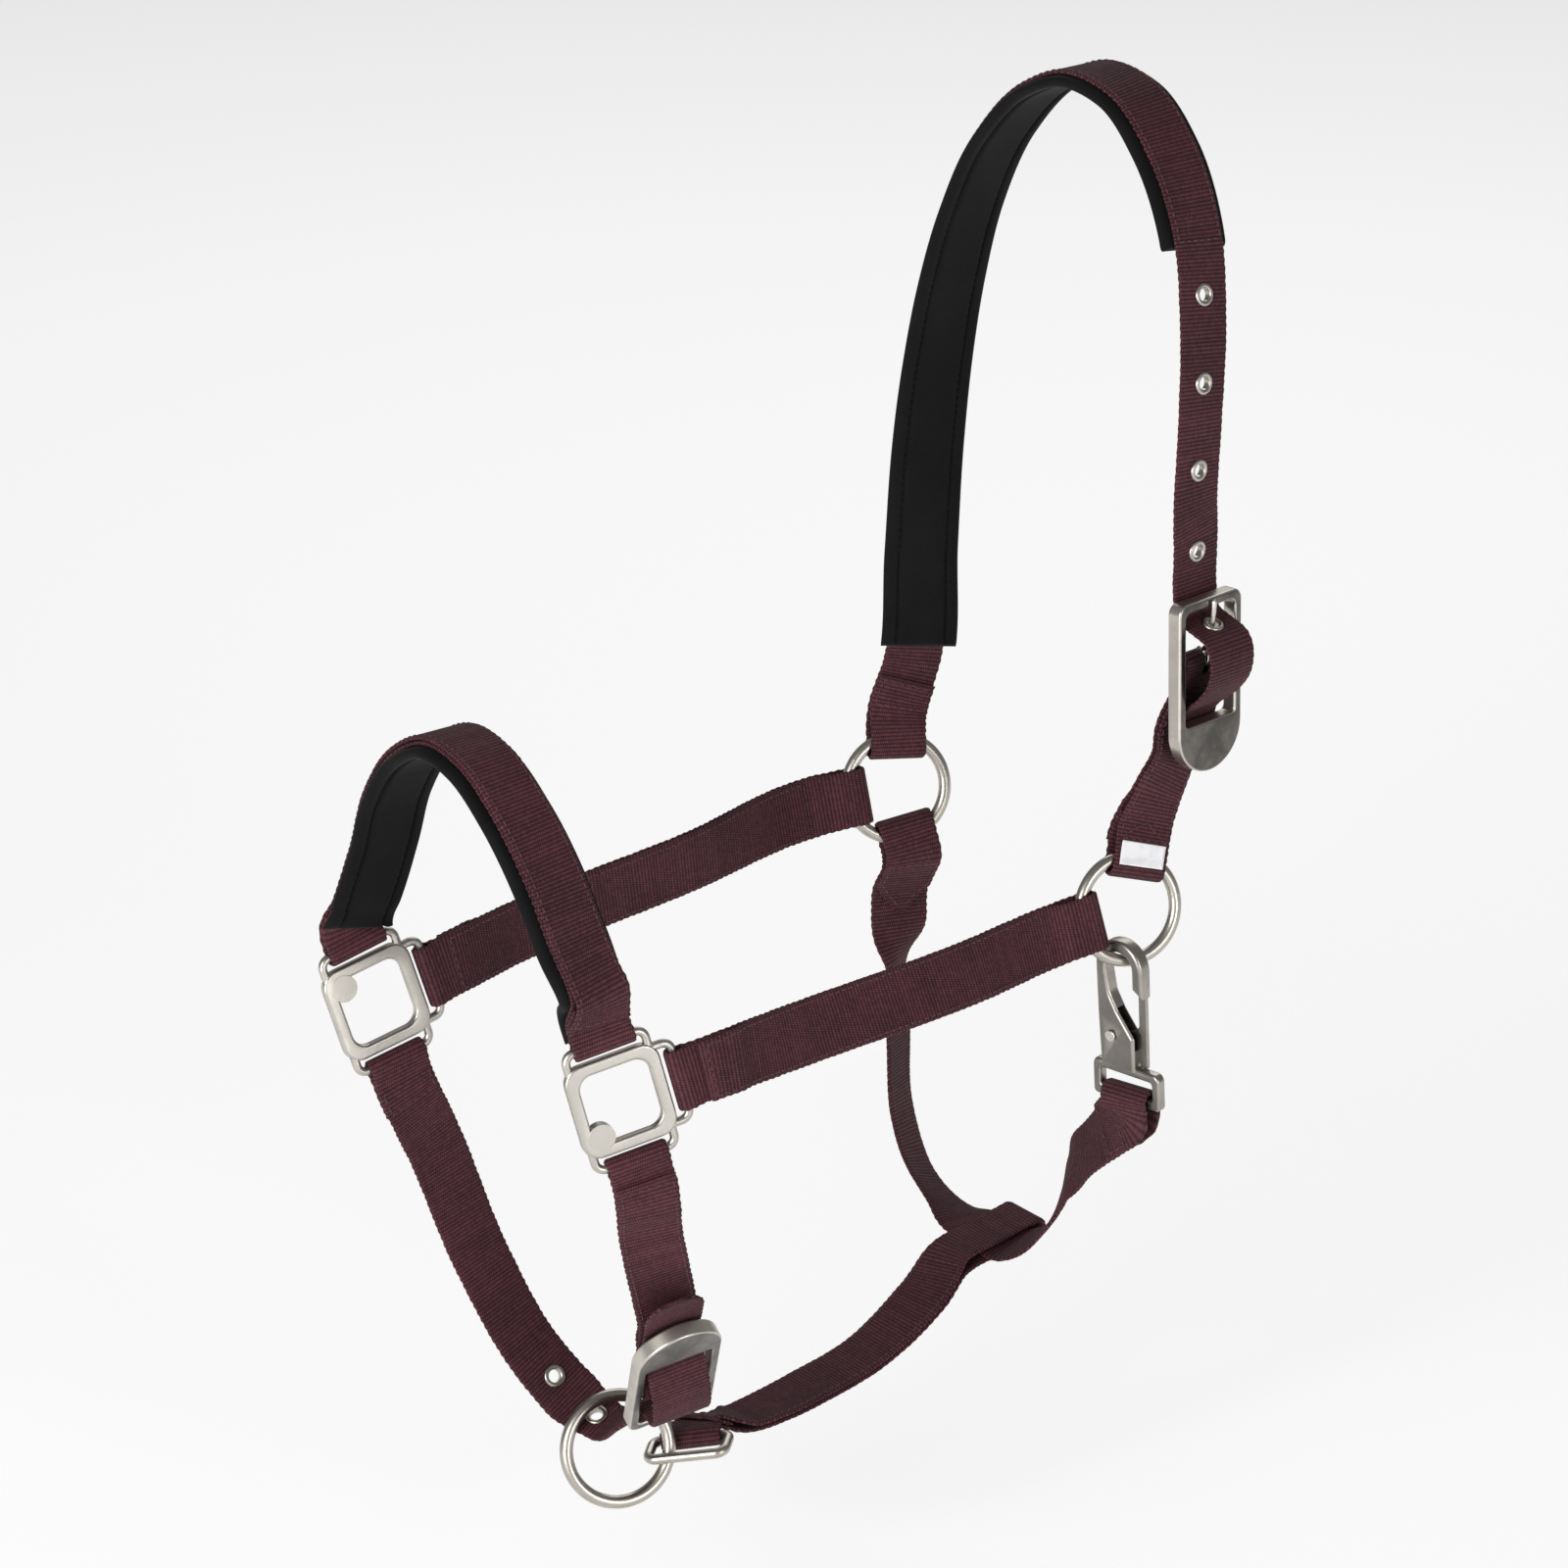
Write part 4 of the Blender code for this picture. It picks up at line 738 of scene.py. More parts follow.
def tape_finish():
    """White woven tape with a fine cross rib."""
    finish = Finish("white_tape")
    ribs = (finish.attribute("rib") * 2.0).wave()
    grey = finish.noise(180.0, 3.0).between(0.40, 0.72)
    tone = finish.blend(grey * 0.5 + ribs * 0.18, colour(0.80, 0.80, 0.81), colour(0.50, 0.50, 0.53))
    return finish.surface(Base_Color=tone, Roughness=0.62 + grey * 0.15,
                          Normal=finish.bump(ribs, 0.3, 0.06 * MM))


WEBBING = webbing_finish()
THREAD = thread_finish()
NEOPRENE = neoprene_finish("black_neoprene", colour(0.0026, 0.0027, 0.0031), colour(0.0075, 0.0075, 0.0082))
BLACK_THREAD = neoprene_finish("black_thread", colour(0.010, 0.010, 0.011), colour(0.040, 0.040, 0.043))
# Each nickel's third colour is the painted shade on its flats: darkest on the buckles and the hook, slight
# on the squares and the small bright parts, none on the rings and link.
NICKEL = nickel_finish("satin_nickel", colour(0.50, 0.468, 0.42), colour(0.36, 0.33, 0.285),
                       colour(0.50, 0.47, 0.42), 0.24, 0.40)
CAST_NICKEL = nickel_finish("cast_nickel", colour(0.54, 0.51, 0.46), colour(0.41, 0.38, 0.335),
                            colour(0.47, 0.445, 0.405), 0.26, 0.42)
PAINTED_SHADE_NICKEL = nickel_finish("painted_shade_nickel", colour(0.60, 0.565, 0.51), colour(0.45, 0.415, 0.365),
                            colour(0.10, 0.094, 0.086), 0.28, 0.44)
HOOK_NICKEL = nickel_finish("hook_nickel", colour(0.42, 0.395, 0.355), colour(0.30, 0.278, 0.245),
                            colour(0.185, 0.174, 0.158), 0.26, 0.42)
BRIGHT = nickel_finish("bright_nickel", colour(0.70, 0.675, 0.635), colour(0.56, 0.53, 0.48),
                       colour(0.62, 0.595, 0.55), 0.18, 0.32)
TAPE = tape_finish()


def shown(name, mesh, finish, body, nodes=(), place=None):
    """A visible piece that rides on a body of the frame and stands for its nodes."""
    made = bpy.data.objects.new(name, mesh)
    bpy.context.scene.collection.objects.link(made)
    made.matrix_world = place or Matrix.Identity(4)
    mesh.materials.clear()
    mesh.materials.append(finish)
    mesh.shade_smooth()
    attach(made, body)
    if nodes:
        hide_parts(*nodes)
    return made


def settled(name, bm):
    """A mesh from a finished bmesh."""
    mesh = bpy.data.meshes.new(name)
    bm.to_mesh(mesh)
    bm.free()
    return mesh


def bridged(bm, grid, skip=None):
    """Faces between the neighbouring points of a grid."""
    for row, (low, high) in enumerate(zip(grid, grid[1:])):
        for column in range(len(low) - 1):
            if skip and skip(row, column):
                continue
            bm.faces.new((low[column], low[column + 1], high[column + 1], high[column]))


def webbing(name, strap, node, holes=()):
    """A strap of ribbed webbing: its middle surface, thickened to ribs and thinned to its selvedges."""
    middle = np.arange(-5.0, 5.1, 1.0) * MM if holes else np.array((-6.5, -2.8, 0.0, 2.8, 6.5)) * MM
    outer = [(WEB_WIDTH / 2 - inset, share) for inset, share in SELVEDGE]
    columns = ([(-place, share) for place, share in outer] + [(place, 1.0) for place in middle]
               + [(place, share) for place, share in outer[::-1]])
    bm = bmesh.new()
    weights = bm.verts.layers.deform.verify()
    ribs = bm.verts.layers.float.new("rib")
    yarns = bm.verts.layers.float.new("yarn")
    grid = []
    last = len(strap.rows) - 1
    for index, (point, across, width, _) in enumerate(strap.rows):
        drawn = SCALLOP * (0.5 - 0.5 * math.cos(2.0 * math.pi * index * ROW / STITCH_PITCH))
        drawn += 0.25 * SCALLOP * math.sin(index * 0.37) * math.sin(index * 0.113)
        thick = TROUGH if index % 2 else 1.0
        if index in (0, last):
            thick = 0.55
        row = []
        for place, share in columns:
            edge = max(0.0, 1.0 - (WEB_WIDTH / 2 - abs(place)) / (2.0 * MM))
            reach = place * width / WEB_WIDTH - math.copysign(drawn * edge, place)
            vertex = bm.verts.new(point + across * reach)
            vertex[weights][0] = thick * share
            vertex[ribs] = index / 2
            vertex[yarns] = place / YARN
            row.append(vertex)
        grid.append(row)

    def opened(row, column):
        low, high = grid[row][column], grid[row + 1][column + 1]
        centre = (low.co + high.co) / 2
        if any((centre - hole.translation).length < EYELET_BARREL for hole in holes):
            return True
        slotted = strap.rows[row][3] and strap.rows[row + 1][3]
        return slotted and abs(low[yarns] + high[yarns]) / 2 * YARN < PRONG_SLOT / 2

    bridged(bm, grid, opened)
    loose = [vertex for vertex in bm.verts if not vertex.link_faces]
    bmesh.ops.delete(bm, geom=loose, context="VERTS")
    made = shown(name, settled(name, bm), WEBBING, "headcollar", (node,))
    made.vertex_groups.new(name="ribs")
    solid = made.modifiers.new("thickness", "SOLIDIFY")
    solid.thickness = WEB_THICKNESS
    solid.offset = 0.0
    solid.vertex_group = "ribs"
    return made


class Sewing:
    """Stitches of one thread, gathered into one mesh."""

    SIDES = 6

    def __init__(self):
        self.bm = bmesh.new()

    def stitch(self, start, stop, up):
        """One stitch between two points: a spindle whose ends sink into the cloth."""
        along = (stop - start).normalized()
        side = along.cross(up).normalized()
        rings = []
        for share, size, lift in STITCH_PROFILE:
            centre = start.lerp(stop, share) + up * (lift * STITCH_RADIUS)
            ring = []
            for step in range(self.SIDES):
                angle = 2.0 * math.pi * step / self.SIDES
                offset = side * math.cos(angle) + up * math.sin(angle)
                ring.append(self.bm.verts.new(centre + offset * (size * STITCH_RADIUS)))
            rings.append(ring)
        for low, high in zip(rings, rings[1:]):
            for step in range(self.SIDES):
                after = (step + 1) % self.SIDES
                self.bm.faces.new((low[step], high[step], high[after], low[after]))
        self.bm.faces.new(rings[0])
        self.bm.faces.new(rings[-1][::-1])

    def run(self, face, start, stop):
        """A row of stitches from one place to another on a face, which gives a point and its normal."""
        start, stop = Vector(start), Vector(stop)
        length = (stop - start).length
        count = max(1, int(length / STITCH_PITCH))
        share = STITCH_LENGTH / STITCH_PITCH
        for step in range(count):
            low, _ = face(*start.lerp(stop, step / count))
            high, up = face(*start.lerp(stop, (step + share) / count))
            self.stitch(low, high, up)

    def edges(self, face, start, stop, offset=STITCH_EDGE):
        for side in (-offset, offset):
            self.run(face, (start, side), (stop, side))

    def across(self, face, arc, offset=STITCH_EDGE):
        self.run(face, (arc, -offset), (arc, offset))

    def boxed(self, face, start, stop, offset=STITCH_EDGE):
        """Rows round the edges and ends of a sewn place."""
        self.edges(face, start, stop, offset)
        self.across(face, start, offset)
        self.across(face, stop, offset)

    def done(self, name, finish):
        bmesh.ops.recalc_face_normals(self.bm, faces=self.bm.faces)
        return shown(name, settled(name, self.bm), finish, "headcollar")


def side_of(strap, level, side):
    """The face of a ply: arc length and offset across to a point on the cloth and its normal."""

    def face(arc, offset):
        point, _, across, outward = strap.route.at(arc)
        rise = level(arc) + side * WEB_THICKNESS / 2
        reach = offset * strap.width(arc) / WEB_WIDTH
        return point + outward * rise + across * reach, outward * side

    return face


def padding(name, node, route, start, stop, level, narrow=1.0):
    """A neoprene pad: flat against the webbing, full on its other face, drawn in along two seams."""
    columns = -np.cos(np.linspace(0.0, math.pi, 61))
    rows = np.linspace(start, stop, int((stop - start) / (1.1 * MM)))
    bm = bmesh.new()
    faces = ([], [])
    for arc in rows:
        point, _, across, outward = route.at(arc)
        half = PAD_WIDTH / 2 * (narrow + (1.0 - narrow) * eased((arc - start) / PAD_TAPER))
        end = min(arc - start, stop - arc)
        rounding = math.sqrt(1.0 - (1.0 - min(end / (2.2 * MM), 1.0)) ** 2)
        base = point + outward * level(arc)
        stitch = 0.5 + 0.5 * math.cos(2.0 * math.pi * arc / STITCH_PITCH)
        ripple = 0.20 * math.sin(arc / (17.0 * MM)) + 0.16 * math.sin(arc / (6.3 * MM) + 1.0)
        top, bottom = [], []
        for share in columns:
            outside = max(0.0, (abs(share) - 0.84) / 0.16)
            edge = math.sqrt(max(0.0, 1.0 - outside**2)) * rounding
            seam = math.exp(-((abs(share) - PAD_SEAM) / 0.050) ** 2)
            swell = 1.0 - 0.10 * abs(share) ** 3
            depth = PAD_THICKNESS * (swell - seam * (0.26 + 0.10 * stitch))
            wander = ripple * MM * (0.35 if abs(share) < PAD_SEAM else 1.0) * (1.0 - outside)
            reach = across * (share * half)
            middle = -PAD_THICKNESS / 2
            bottom.append(bm.verts.new(base + reach + outward * (middle + (-depth - middle) * edge
                                                                 + 0.35 * wander * edge)))
            top.append(bm.verts.new(base + reach + outward * (middle - middle * edge)))
        faces[0].append(top)
        faces[1].append(bottom[::-1])
    for grid in faces:
        bridged(bm, grid)
    bmesh.ops.remove_doubles(bm, verts=bm.verts, dist=0.02 * MM)
    bmesh.ops.recalc_face_normals(bm, faces=bm.faces)
    made = shown(name, settled(name, bm), NEOPRENE, "headcollar", (node,))

    def face(arc, offset):
        point, _, across, outward = route.at(arc)
        depth = PAD_THICKNESS * 0.66
        return point + outward * (level(arc) - depth) + across * offset, -outward

    seams = Sewing()
    seams.edges(face, start + PAD_TAPER, stop - 5.0 * MM, PAD_SEAM * PAD_WIDTH / 2)
    seams.done(f"{name}_seams", BLACK_THREAD)
    return made


def arc_points(centre, radius, start, stop, count):
    """Points on an arc, its angles in degrees."""
    angles = np.radians(np.linspace(start, stop, count))
    return [(centre[0] + radius * math.cos(angle), centre[1] + radius * math.sin(angle))
            for angle in angles]


def rounded(corners, count=8):
    """An outline through corners, each given as a point and the radius that rounds it."""
    outline = []
    total = len(corners)
    for index, (x, y, radius) in enumerate(corners):
        corner = Vector((x, y))
        before = Vector(corners[index - 1][:2]) - corner
        after = Vector(corners[(index + 1) % total][:2]) - corner
        if radius <= 0.0:
            outline.append(tuple(corner))
            continue
        half = before.angle(after) / 2
        reach = radius / math.tan(half)
        middle = (before.normalized() + after.normalized()).normalized()
        centre = corner + middle * (radius / math.sin(half))
        first = corner + before.normalized() * reach - centre
        last = corner + after.normalized() * reach - centre
        sweep = first.angle_signed(last)
        for step in range(count + 1):
            outline.append(tuple(centre + Matrix.Rotation(-sweep * step / count, 2) @ first))
    return outline


def box_outline(half_x, half_y, radius, centre=(0.0, 0.0), count=8):
    x, y = centre
    return rounded([(x - half_x, y - half_y, radius), (x + half_x, y - half_y, radius),
                    (x + half_x, y + half_y, radius), (x - half_x, y + half_y, radius)], count)


def scaled(outline):
    """An outline's corners and radii in metres."""
    return [(x * MM, y * MM, radius * MM) for x, y, radius in outline]


def as_mesh(name, curve):
    """The mesh that a curve makes, with its caps welded on."""
    guide = bpy.data.objects.new(name, curve)
    bpy.context.scene.collection.objects.link(guide)
    evaluated = guide.evaluated_get(bpy.context.evaluated_depsgraph_get())
    mesh = bpy.data.meshes.new_from_object(evaluated)
    bpy.data.objects.remove(guide)
    bm = bmesh.new()
    bm.from_mesh(mesh)
    bmesh.ops.remove_doubles(bm, verts=bm.verts, dist=0.005 * MM)
    bmesh.ops.recalc_face_normals(bm, faces=bm.faces)
    bm.to_mesh(mesh)
    bm.free()
    mesh.name = name
    return mesh


def plate(name, outlines, thickness, bevel, resolution=4):
    """A closed mesh of flat outlines, the first the outside and the rest holes, with round edges."""
    curve = bpy.data.curves.new(name, "CURVE")
    curve.dimensions = "2D"
    curve.fill_mode = "BOTH"
    curve.extrude = thickness / 2 - bevel
    curve.bevel_depth = bevel
    curve.bevel_resolution = resolution
    curve.offset = -bevel
    for outline in outlines:
        spline = curve.splines.new("POLY")
        spline.points.add(len(outline) - 1)
        for point, (x, y) in zip(spline.points, outline):
            point.co = (x, y, 0.0, 1.0)
        spline.use_cyclic_u = True
    return as_mesh(name, curve)


def wire(name, points, radius, cyclic=False, resolution=5, radii=None):
    """A closed mesh of a round wire through points."""
    curve = bpy.data.curves.new(name, "CURVE")
    curve.dimensions = "3D"
    curve.bevel_depth = radius
    curve.bevel_resolution = resolution
    curve.use_fill_caps = True
    spline = curve.splines.new("POLY")
    spline.points.add(len(points) - 1)
    for index, (point, place) in enumerate(zip(spline.points, points)):
        point.co = (*place, 1.0)
        point.radius = radii[index] if radii else 1.0
    spline.use_cyclic_u = cyclic
    return as_mesh(name, curve)


def cylinder(name, radius, length, sides=48, bevel=0.0):
    """A closed cylinder along Z, centred on the origin, with eased ends."""
    mesh = bpy.data.meshes.new(name)
    bm = bmesh.new()
    bmesh.ops.create_cone(bm, cap_ends=True, segments=sides, radius1=radius, radius2=radius, depth=length)
    if bevel:
        rims = [edge for edge in bm.edges if abs(edge.verts[0].co.z - edge.verts[1].co.z) < 0.01 * MM]
        bmesh.ops.bevel(bm, geom=rims, offset=bevel, segments=3, profile=0.5, affect="EDGES")
    bm.to_mesh(mesh)
    bm.free()
    return mesh


def block(name, low, high):
    """A closed box between two corners."""
    mesh = bpy.data.meshes.new(name)
    bm = bmesh.new()
    low, high = Vector(low), Vector(high)
    size = Matrix.Diagonal((*(high - low), 1.0))
    bmesh.ops.create_cube(bm, size=1.0, matrix=Matrix.Translation((low + high) / 2) @ size)
    bm.to_mesh(mesh)
    bm.free()
    return mesh


def joined(name, base, tools):
    """A mesh worked on by others: each is a mesh and the operation that it does."""
    body = bpy.data.objects.new(name, base)
    bpy.context.scene.collection.objects.link(body)
    helpers = []
    for mesh, operation in tools:
        helper = bpy.data.objects.new(mesh.name, mesh)
        bpy.context.scene.collection.objects.link(helper)
        helpers.append(helper)
        modifier = body.modifiers.new(mesh.name, "BOOLEAN")
        modifier.operation = operation
        modifier.solver = "MANIFOLD"
        modifier.object = helper
    evaluated = body.evaluated_get(bpy.context.evaluated_depsgraph_get())
    mesh = bpy.data.meshes.new_from_object(evaluated)
    for spent in (body, *helpers):
        bpy.data.objects.remove(spent)
    mesh.name = name
    return mesh


def cast(name, mesh, node, body="headcollar", place=None, finish=None, crease=38.0):
    """A metal piece, smooth except along its real edges."""
    made = shown(name, mesh, finish or NICKEL, body, (node,), place)
    # Mask of how squarely each point faces out of the piece, for the painted shade on the flats.
    flat = mesh.attributes.new("flat", "FLOAT", "POINT")
    for share, vertex in zip(flat.data, mesh.vertices):
        share.value = eased((abs(vertex.normal.z) - FLAT_LOW) / (FLAT_HIGH - FLAT_LOW))
    mesh.set_sharp_from_angle(angle=math.radians(crease))
    made.modifiers.new("even_flats", "WEIGHTED_NORMAL").keep_sharp = True
    return made


def staple(name, direction):
    """A bail: a bar bent into a staple, its feet inside the square's frame."""
    root = SQUARE_HALF - SQUARE_BAR / 2
    bend = BAIL_CORNER
    path = [(-BAIL_HALF, root)] + arc_points((bend - BAIL_HALF, BAIL_SEAT - bend), bend, 180, 90, 8)
    path += arc_points((BAIL_HALF - bend, BAIL_SEAT - bend), bend, 90, 0, 8) + [(BAIL_HALF, root)]
    mesh = wire(name, [(x, y, 0.0) for x, y in path], BAIL_BAR)
    mesh.transform(Matrix.Rotation(direction, 4, "Z"))
    return mesh


def square(name, place):
    """A cast halter square: a frame with a disc in one corner and bails on three sides."""
    inner = SQUARE_HALF - SQUARE_BAR
    outlines = [box_outline(SQUARE_HALF, SQUARE_HALF, SQUARE_CORNER),
                box_outline(inner, inner, WINDOW_CORNER)]
    body = plate(name, outlines, SQUARE_THICKNESS, SQUARE_BEVEL)
    tools = [(staple(f"{name}_{side}", turn), "UNION")
             for side, turn in (("upper", 0.0), ("rear", -math.pi / 2), ("lower", math.pi))]
    disc = cylinder(f"{name}_disc", DISC_RADIUS, DISC_THICKNESS, 64, 0.12 * MM)
    disc.transform(Matrix.Translation((-DISC_PLACE, -DISC_PLACE, 0.0)))
    tools.append((disc, "UNION"))
    cast(f"{name}_casting", joined(name, body, tools), name, place=place, finish=CAST_NICKEL)


def ring(name, place, radius, wire_radius, weld):
    """A welded ring: a round bar closed on itself, a little proud and scored at its weld."""
    turns, sides = 160, 24
    bm = bmesh.new()
    grid = []
    for step in range(turns):
        angle = 2.0 * math.pi * step / turns
        offset = (angle - weld + math.pi) % (2.0 * math.pi) - math.pi
        bead = 0.045 * math.exp(-((offset / WELD_WIDTH) ** 2)) - 0.10 * math.exp(-((offset / 0.012) ** 2))
        row = []
        for turn in range(sides):
            swing = 2.0 * math.pi * turn / sides
            reach = radius + wire_radius * (1.0 + bead) * math.cos(swing)
            height = wire_radius * (1.0 + bead) * math.sin(swing)
            row.append(bm.verts.new((reach * math.cos(angle), reach * math.sin(angle), height)))
        grid.append(row + row[:1])
    bridged(bm, grid + grid[:1])
    bmesh.ops.recalc_face_normals(bm, faces=bm.faces)
    cast(f"{name}_bar", settled(name, bm), name, name, place, crease=60.0)


def buckle(name, place):
    """A cast buckle frame with its centre bar: flat top bar, two rails, and a round plate below."""
    half, rail = BUCKLE_HALF, BUCKLE_RAIL
    outer = rounded([(half, -BUCKLE_PLATE_CENTRE, 0.0), (half, BUCKLE_TOP, BUCKLE_CORNER),
                     (-half, BUCKLE_TOP, BUCKLE_CORNER), (-half, -BUCKLE_PLATE_CENTRE, 0.0)], 8)
    outer += arc_points((0.0, -BUCKLE_PLATE_CENTRE), half, 180, 360, 49)[1:-1]
    window = rounded([(half - rail, BUCKLE_TOP - BUCKLE_TOP_BAR, BUCKLE_THROAT_CORNER),
                      (rail - half, BUCKLE_TOP - BUCKLE_TOP_BAR, BUCKLE_THROAT_CORNER),
                      (rail - half, -BUCKLE_PLATE_TOP, BUCKLE_PLATE_CORNER),
                      (half - rail, -BUCKLE_PLATE_TOP, BUCKLE_PLATE_CORNER)], 6)
    body = plate(name, [outer, window], BUCKLE_THICKNESS, BUCKLE_BEVEL)
    body.transform(Matrix.Translation((0.0, 0.0, BUCKLE_RISE)))
    bar = cylinder(f"{name}_bar", BUCKLE_BAR, 2 * (half - rail / 2), 32)
    bar.transform(Matrix.Rotation(math.pi / 2, 4, "Y"))
    cast(f"{name}_frame", joined(name, body, [(bar, "UNION")]), name, place=place,
         finish=PAINTED_SHADE_NICKEL)


def prong(name, place):
    """A wire prong bent round the centre bar, its tip over the top bar."""
    rest = BUCKLE_RISE + BUCKLE_THICKNESS / 2 + FIT + PRONG_WIRE
    eye = [(0.0, PRONG_EYE * math.cos(angle), PRONG_EYE * math.sin(angle))
           for angle in np.radians(np.linspace(*PRONG_CURL, 30))]
    shaft = [(0.0, along, PRONG_EYE + (rest - PRONG_EYE) * along / PRONG_REST) for along in PRONG_SHAFT]
    tip = [(0.0, PRONG_LENGTH - back, rest) for back in PRONG_TIP]
    radii = [0.97] * 30 + [1.0] * 3 + [0.98, 0.72, 0.35]
    cast(f"{name}_bar", wire(name, eye + shaft + tip, PRONG_WIRE, radii=radii), name, name, place, BRIGHT)


def eyelet(name, matrix):
    """A turned eyelet rolled over both faces of the webbing."""
    face = WEB_THICKNESS / 2 + EYELET_GAP
    half = [(EYELET_BORE, 0.0)]
    middle = (EYELET_BORE + EYELET_FLANGE) / 2
    for angle in np.linspace(math.pi, 0.0, 9):
        half.append((middle + (EYELET_FLANGE - EYELET_BORE) / 2 * math.cos(angle),
                     face + EYELET_RISE * math.sin(angle)))
    half += [(EYELET_FLANGE - 0.15 * MM, face - 0.04 * MM), (EYELET_BARREL, face - 0.04 * MM)]
    profile = half + [(radius, -height) for radius, height in reversed(half[1:])]
    bm = bmesh.new()
    grid = []
    for step in range(EYELET_STEPS):
        angle = 2.0 * math.pi * step / EYELET_STEPS
        row = [bm.verts.new((radius * math.cos(angle), radius * math.sin(angle), height))
               for radius, height in profile]
        grid.append(row + row[:1])
    bridged(bm, grid + grid[:1])
    bmesh.ops.recalc_face_normals(bm, faces=bm.faces)
    cast(f"{name}_rim", settled(name, bm), name, place=matrix, crease=50.0)


def link():
    """The rectangular wire link between the chin ring and the jaw strap, welded on its front side."""
    outline = box_outline(LINK_LENGTH / 2, LINK_DEPTH / 2, LINK_CORNER, count=10)
    mesh = wire("jaw_link", [(x, y, 0.0) for x, y in outline], LINK_WIRE, cyclic=True)
    cast("jaw_link_bar", mesh, "jaw_link", "jaw_link", LINK, crease=60.0)


def snap():
    """The snap hook: casting, rivet, gate and the gate's spring."""
    middle = (0.0, EYE_BAR + EYE_SLOT_DEPTH / 2)
    slot = box_outline(EYE_SLOT_HALF, EYE_SLOT_DEPTH / 2, EYE_SLOT_CORNER, middle, 4)
    eye = plate("snap_eye", [rounded(scaled(EYE_OUTLINE), 6), slot], EYE_THICKNESS, EYE_BEVEL)
    reach = GATE_TIP_RADIUS + NOSE_GAP
    nose = []
    for edge in (BEND_CENTRE[0] + BEND_INNER, BEND_CENTRE[0] + BEND_OUTER):
        offset = edge - RIVET_PLACE[0]
        nose.append((edge, RIVET_PLACE[1] + math.sqrt(reach**2 - offset**2)))
    outline = (rounded(scaled(SHANK_OUTLINE), 6) + arc_points(BEND_CENTRE, BEND_INNER, 180, 0, 25) + nose
               + arc_points(BEND_CENTRE, BEND_OUTER, 0, 180, 37) + rounded(scaled(HEEL_OUTLINE)))
    upper = plate("snap_upper", [outline], HOOK_THICKNESS, HOOK_BEVEL)
    fork = block("snap_fork", (*FORK_LOW, -FORK_SLOT / 2), (*FORK_HIGH, FORK_SLOT / 2))
    spot = Matrix.Translation((*RIVET_PLACE, 0.0))
    bore = cylinder("snap_bore", RIVET_RADIUS + FIT, 2 * HOOK_THICKNESS)
    bore.transform(spot)
    tools = [(upper, "UNION"), (fork, "DIFFERENCE"), (bore, "DIFFERENCE")]
    cast("snap_casting", joined("snap_casting", eye, tools), "snap_hook", "snap", HOOK, HOOK_NICKEL)

    rise = HOOK_THICKNESS / 2 + FIT + RIVET_HEAD_HEIGHT / 2
    shank = cylinder("snap_pin", RIVET_RADIUS, 2 * rise)
    heads = []
    for side in (-1.0, 1.0):
        head = cylinder(f"snap_head_{side:+.0f}", RIVET_HEAD, RIVET_HEAD_HEIGHT, 48, 0.35 * MM)
        head.transform(Matrix.Translation((0.0, 0.0, side * rise)))
        heads.append((head, "UNION"))
    cast("snap_pin", joined("snap_pin", shank, heads), "snap_rivet", "snap", HOOK @ spot, BRIGHT)

    tip = [(edge, math.sqrt(GATE_TIP_RADIUS**2 - edge**2), GATE_TIP_CORNER)
           for edge in (GATE_OUTER, GATE_INNER)]
    arm = rounded(scaled(GATE_ARM) + tip + scaled(GATE_CROOK), 8)
    hole = arc_points((0.0, 0.0), RIVET_RADIUS + FIT, 0, 350, 36)
    gate = plate("snap_lever", [arm, hole], GATE_THICKNESS, GATE_BEVEL, 3)
    gate.transform(Matrix.Translation((0.0, 0.0, GATE_OFFSET)))
    cast("snap_lever", gate, "snap_gate", "snap_gate", HOOK @ spot, HOOK_NICKEL)

    turns = [(SPRING_RADIUS * math.cos(angle), SPRING_RADIUS * math.sin(angle),
              SPRING_FOOT + SPRING_PITCH * (angle + math.pi / 2) / (2 * math.pi))
             for angle in np.linspace(-math.pi / 2, (2 * SPRING_TURNS - 0.5) * math.pi, 61)]
    first, last = SPRING_LEGS
    path = ([(first[0] * MM, first[1] * MM, turns[0][2])] + turns
            + [(last[0] * MM, last[1] * MM, turns[-1][2])])
    cast("snap_coil", wire("snap_coil", path, SPRING_WIRE, resolution=3), "snap_spring", "snap", HOOK @ spot)


def noseband():
    route = Route(bail_end(NEAR_SQUARE, (0, 1), 1) + stations(NOSE_ROUTE)
                  + bail_end(OFF_SQUARE, (0, -1), -1)[::-1])
    strap = Strap(route, BAIL_LOOP, BAIL_LOOP).band()
    webbing("noseband_webbing", strap, "noseband_strap")
    sewing = Sewing()
    sewing.boxed(side_of(strap, strap.lapped, 1.0), PLY_END + 2.5 * MM, route.length - 13.0 * MM)
    sewing.done("noseband_stitching", THREAD)
    gap = WEB_THICKNESS / 2 + FIT
    padding("noseband_padding", "noseband_pad", route, PAD_START, route.length - PAD_STOP,
            lambda arc: -max(strap.spread(arc - PAD_EASE), strap.spread(arc + PAD_EASE)) - gap, PAD_NARROW)


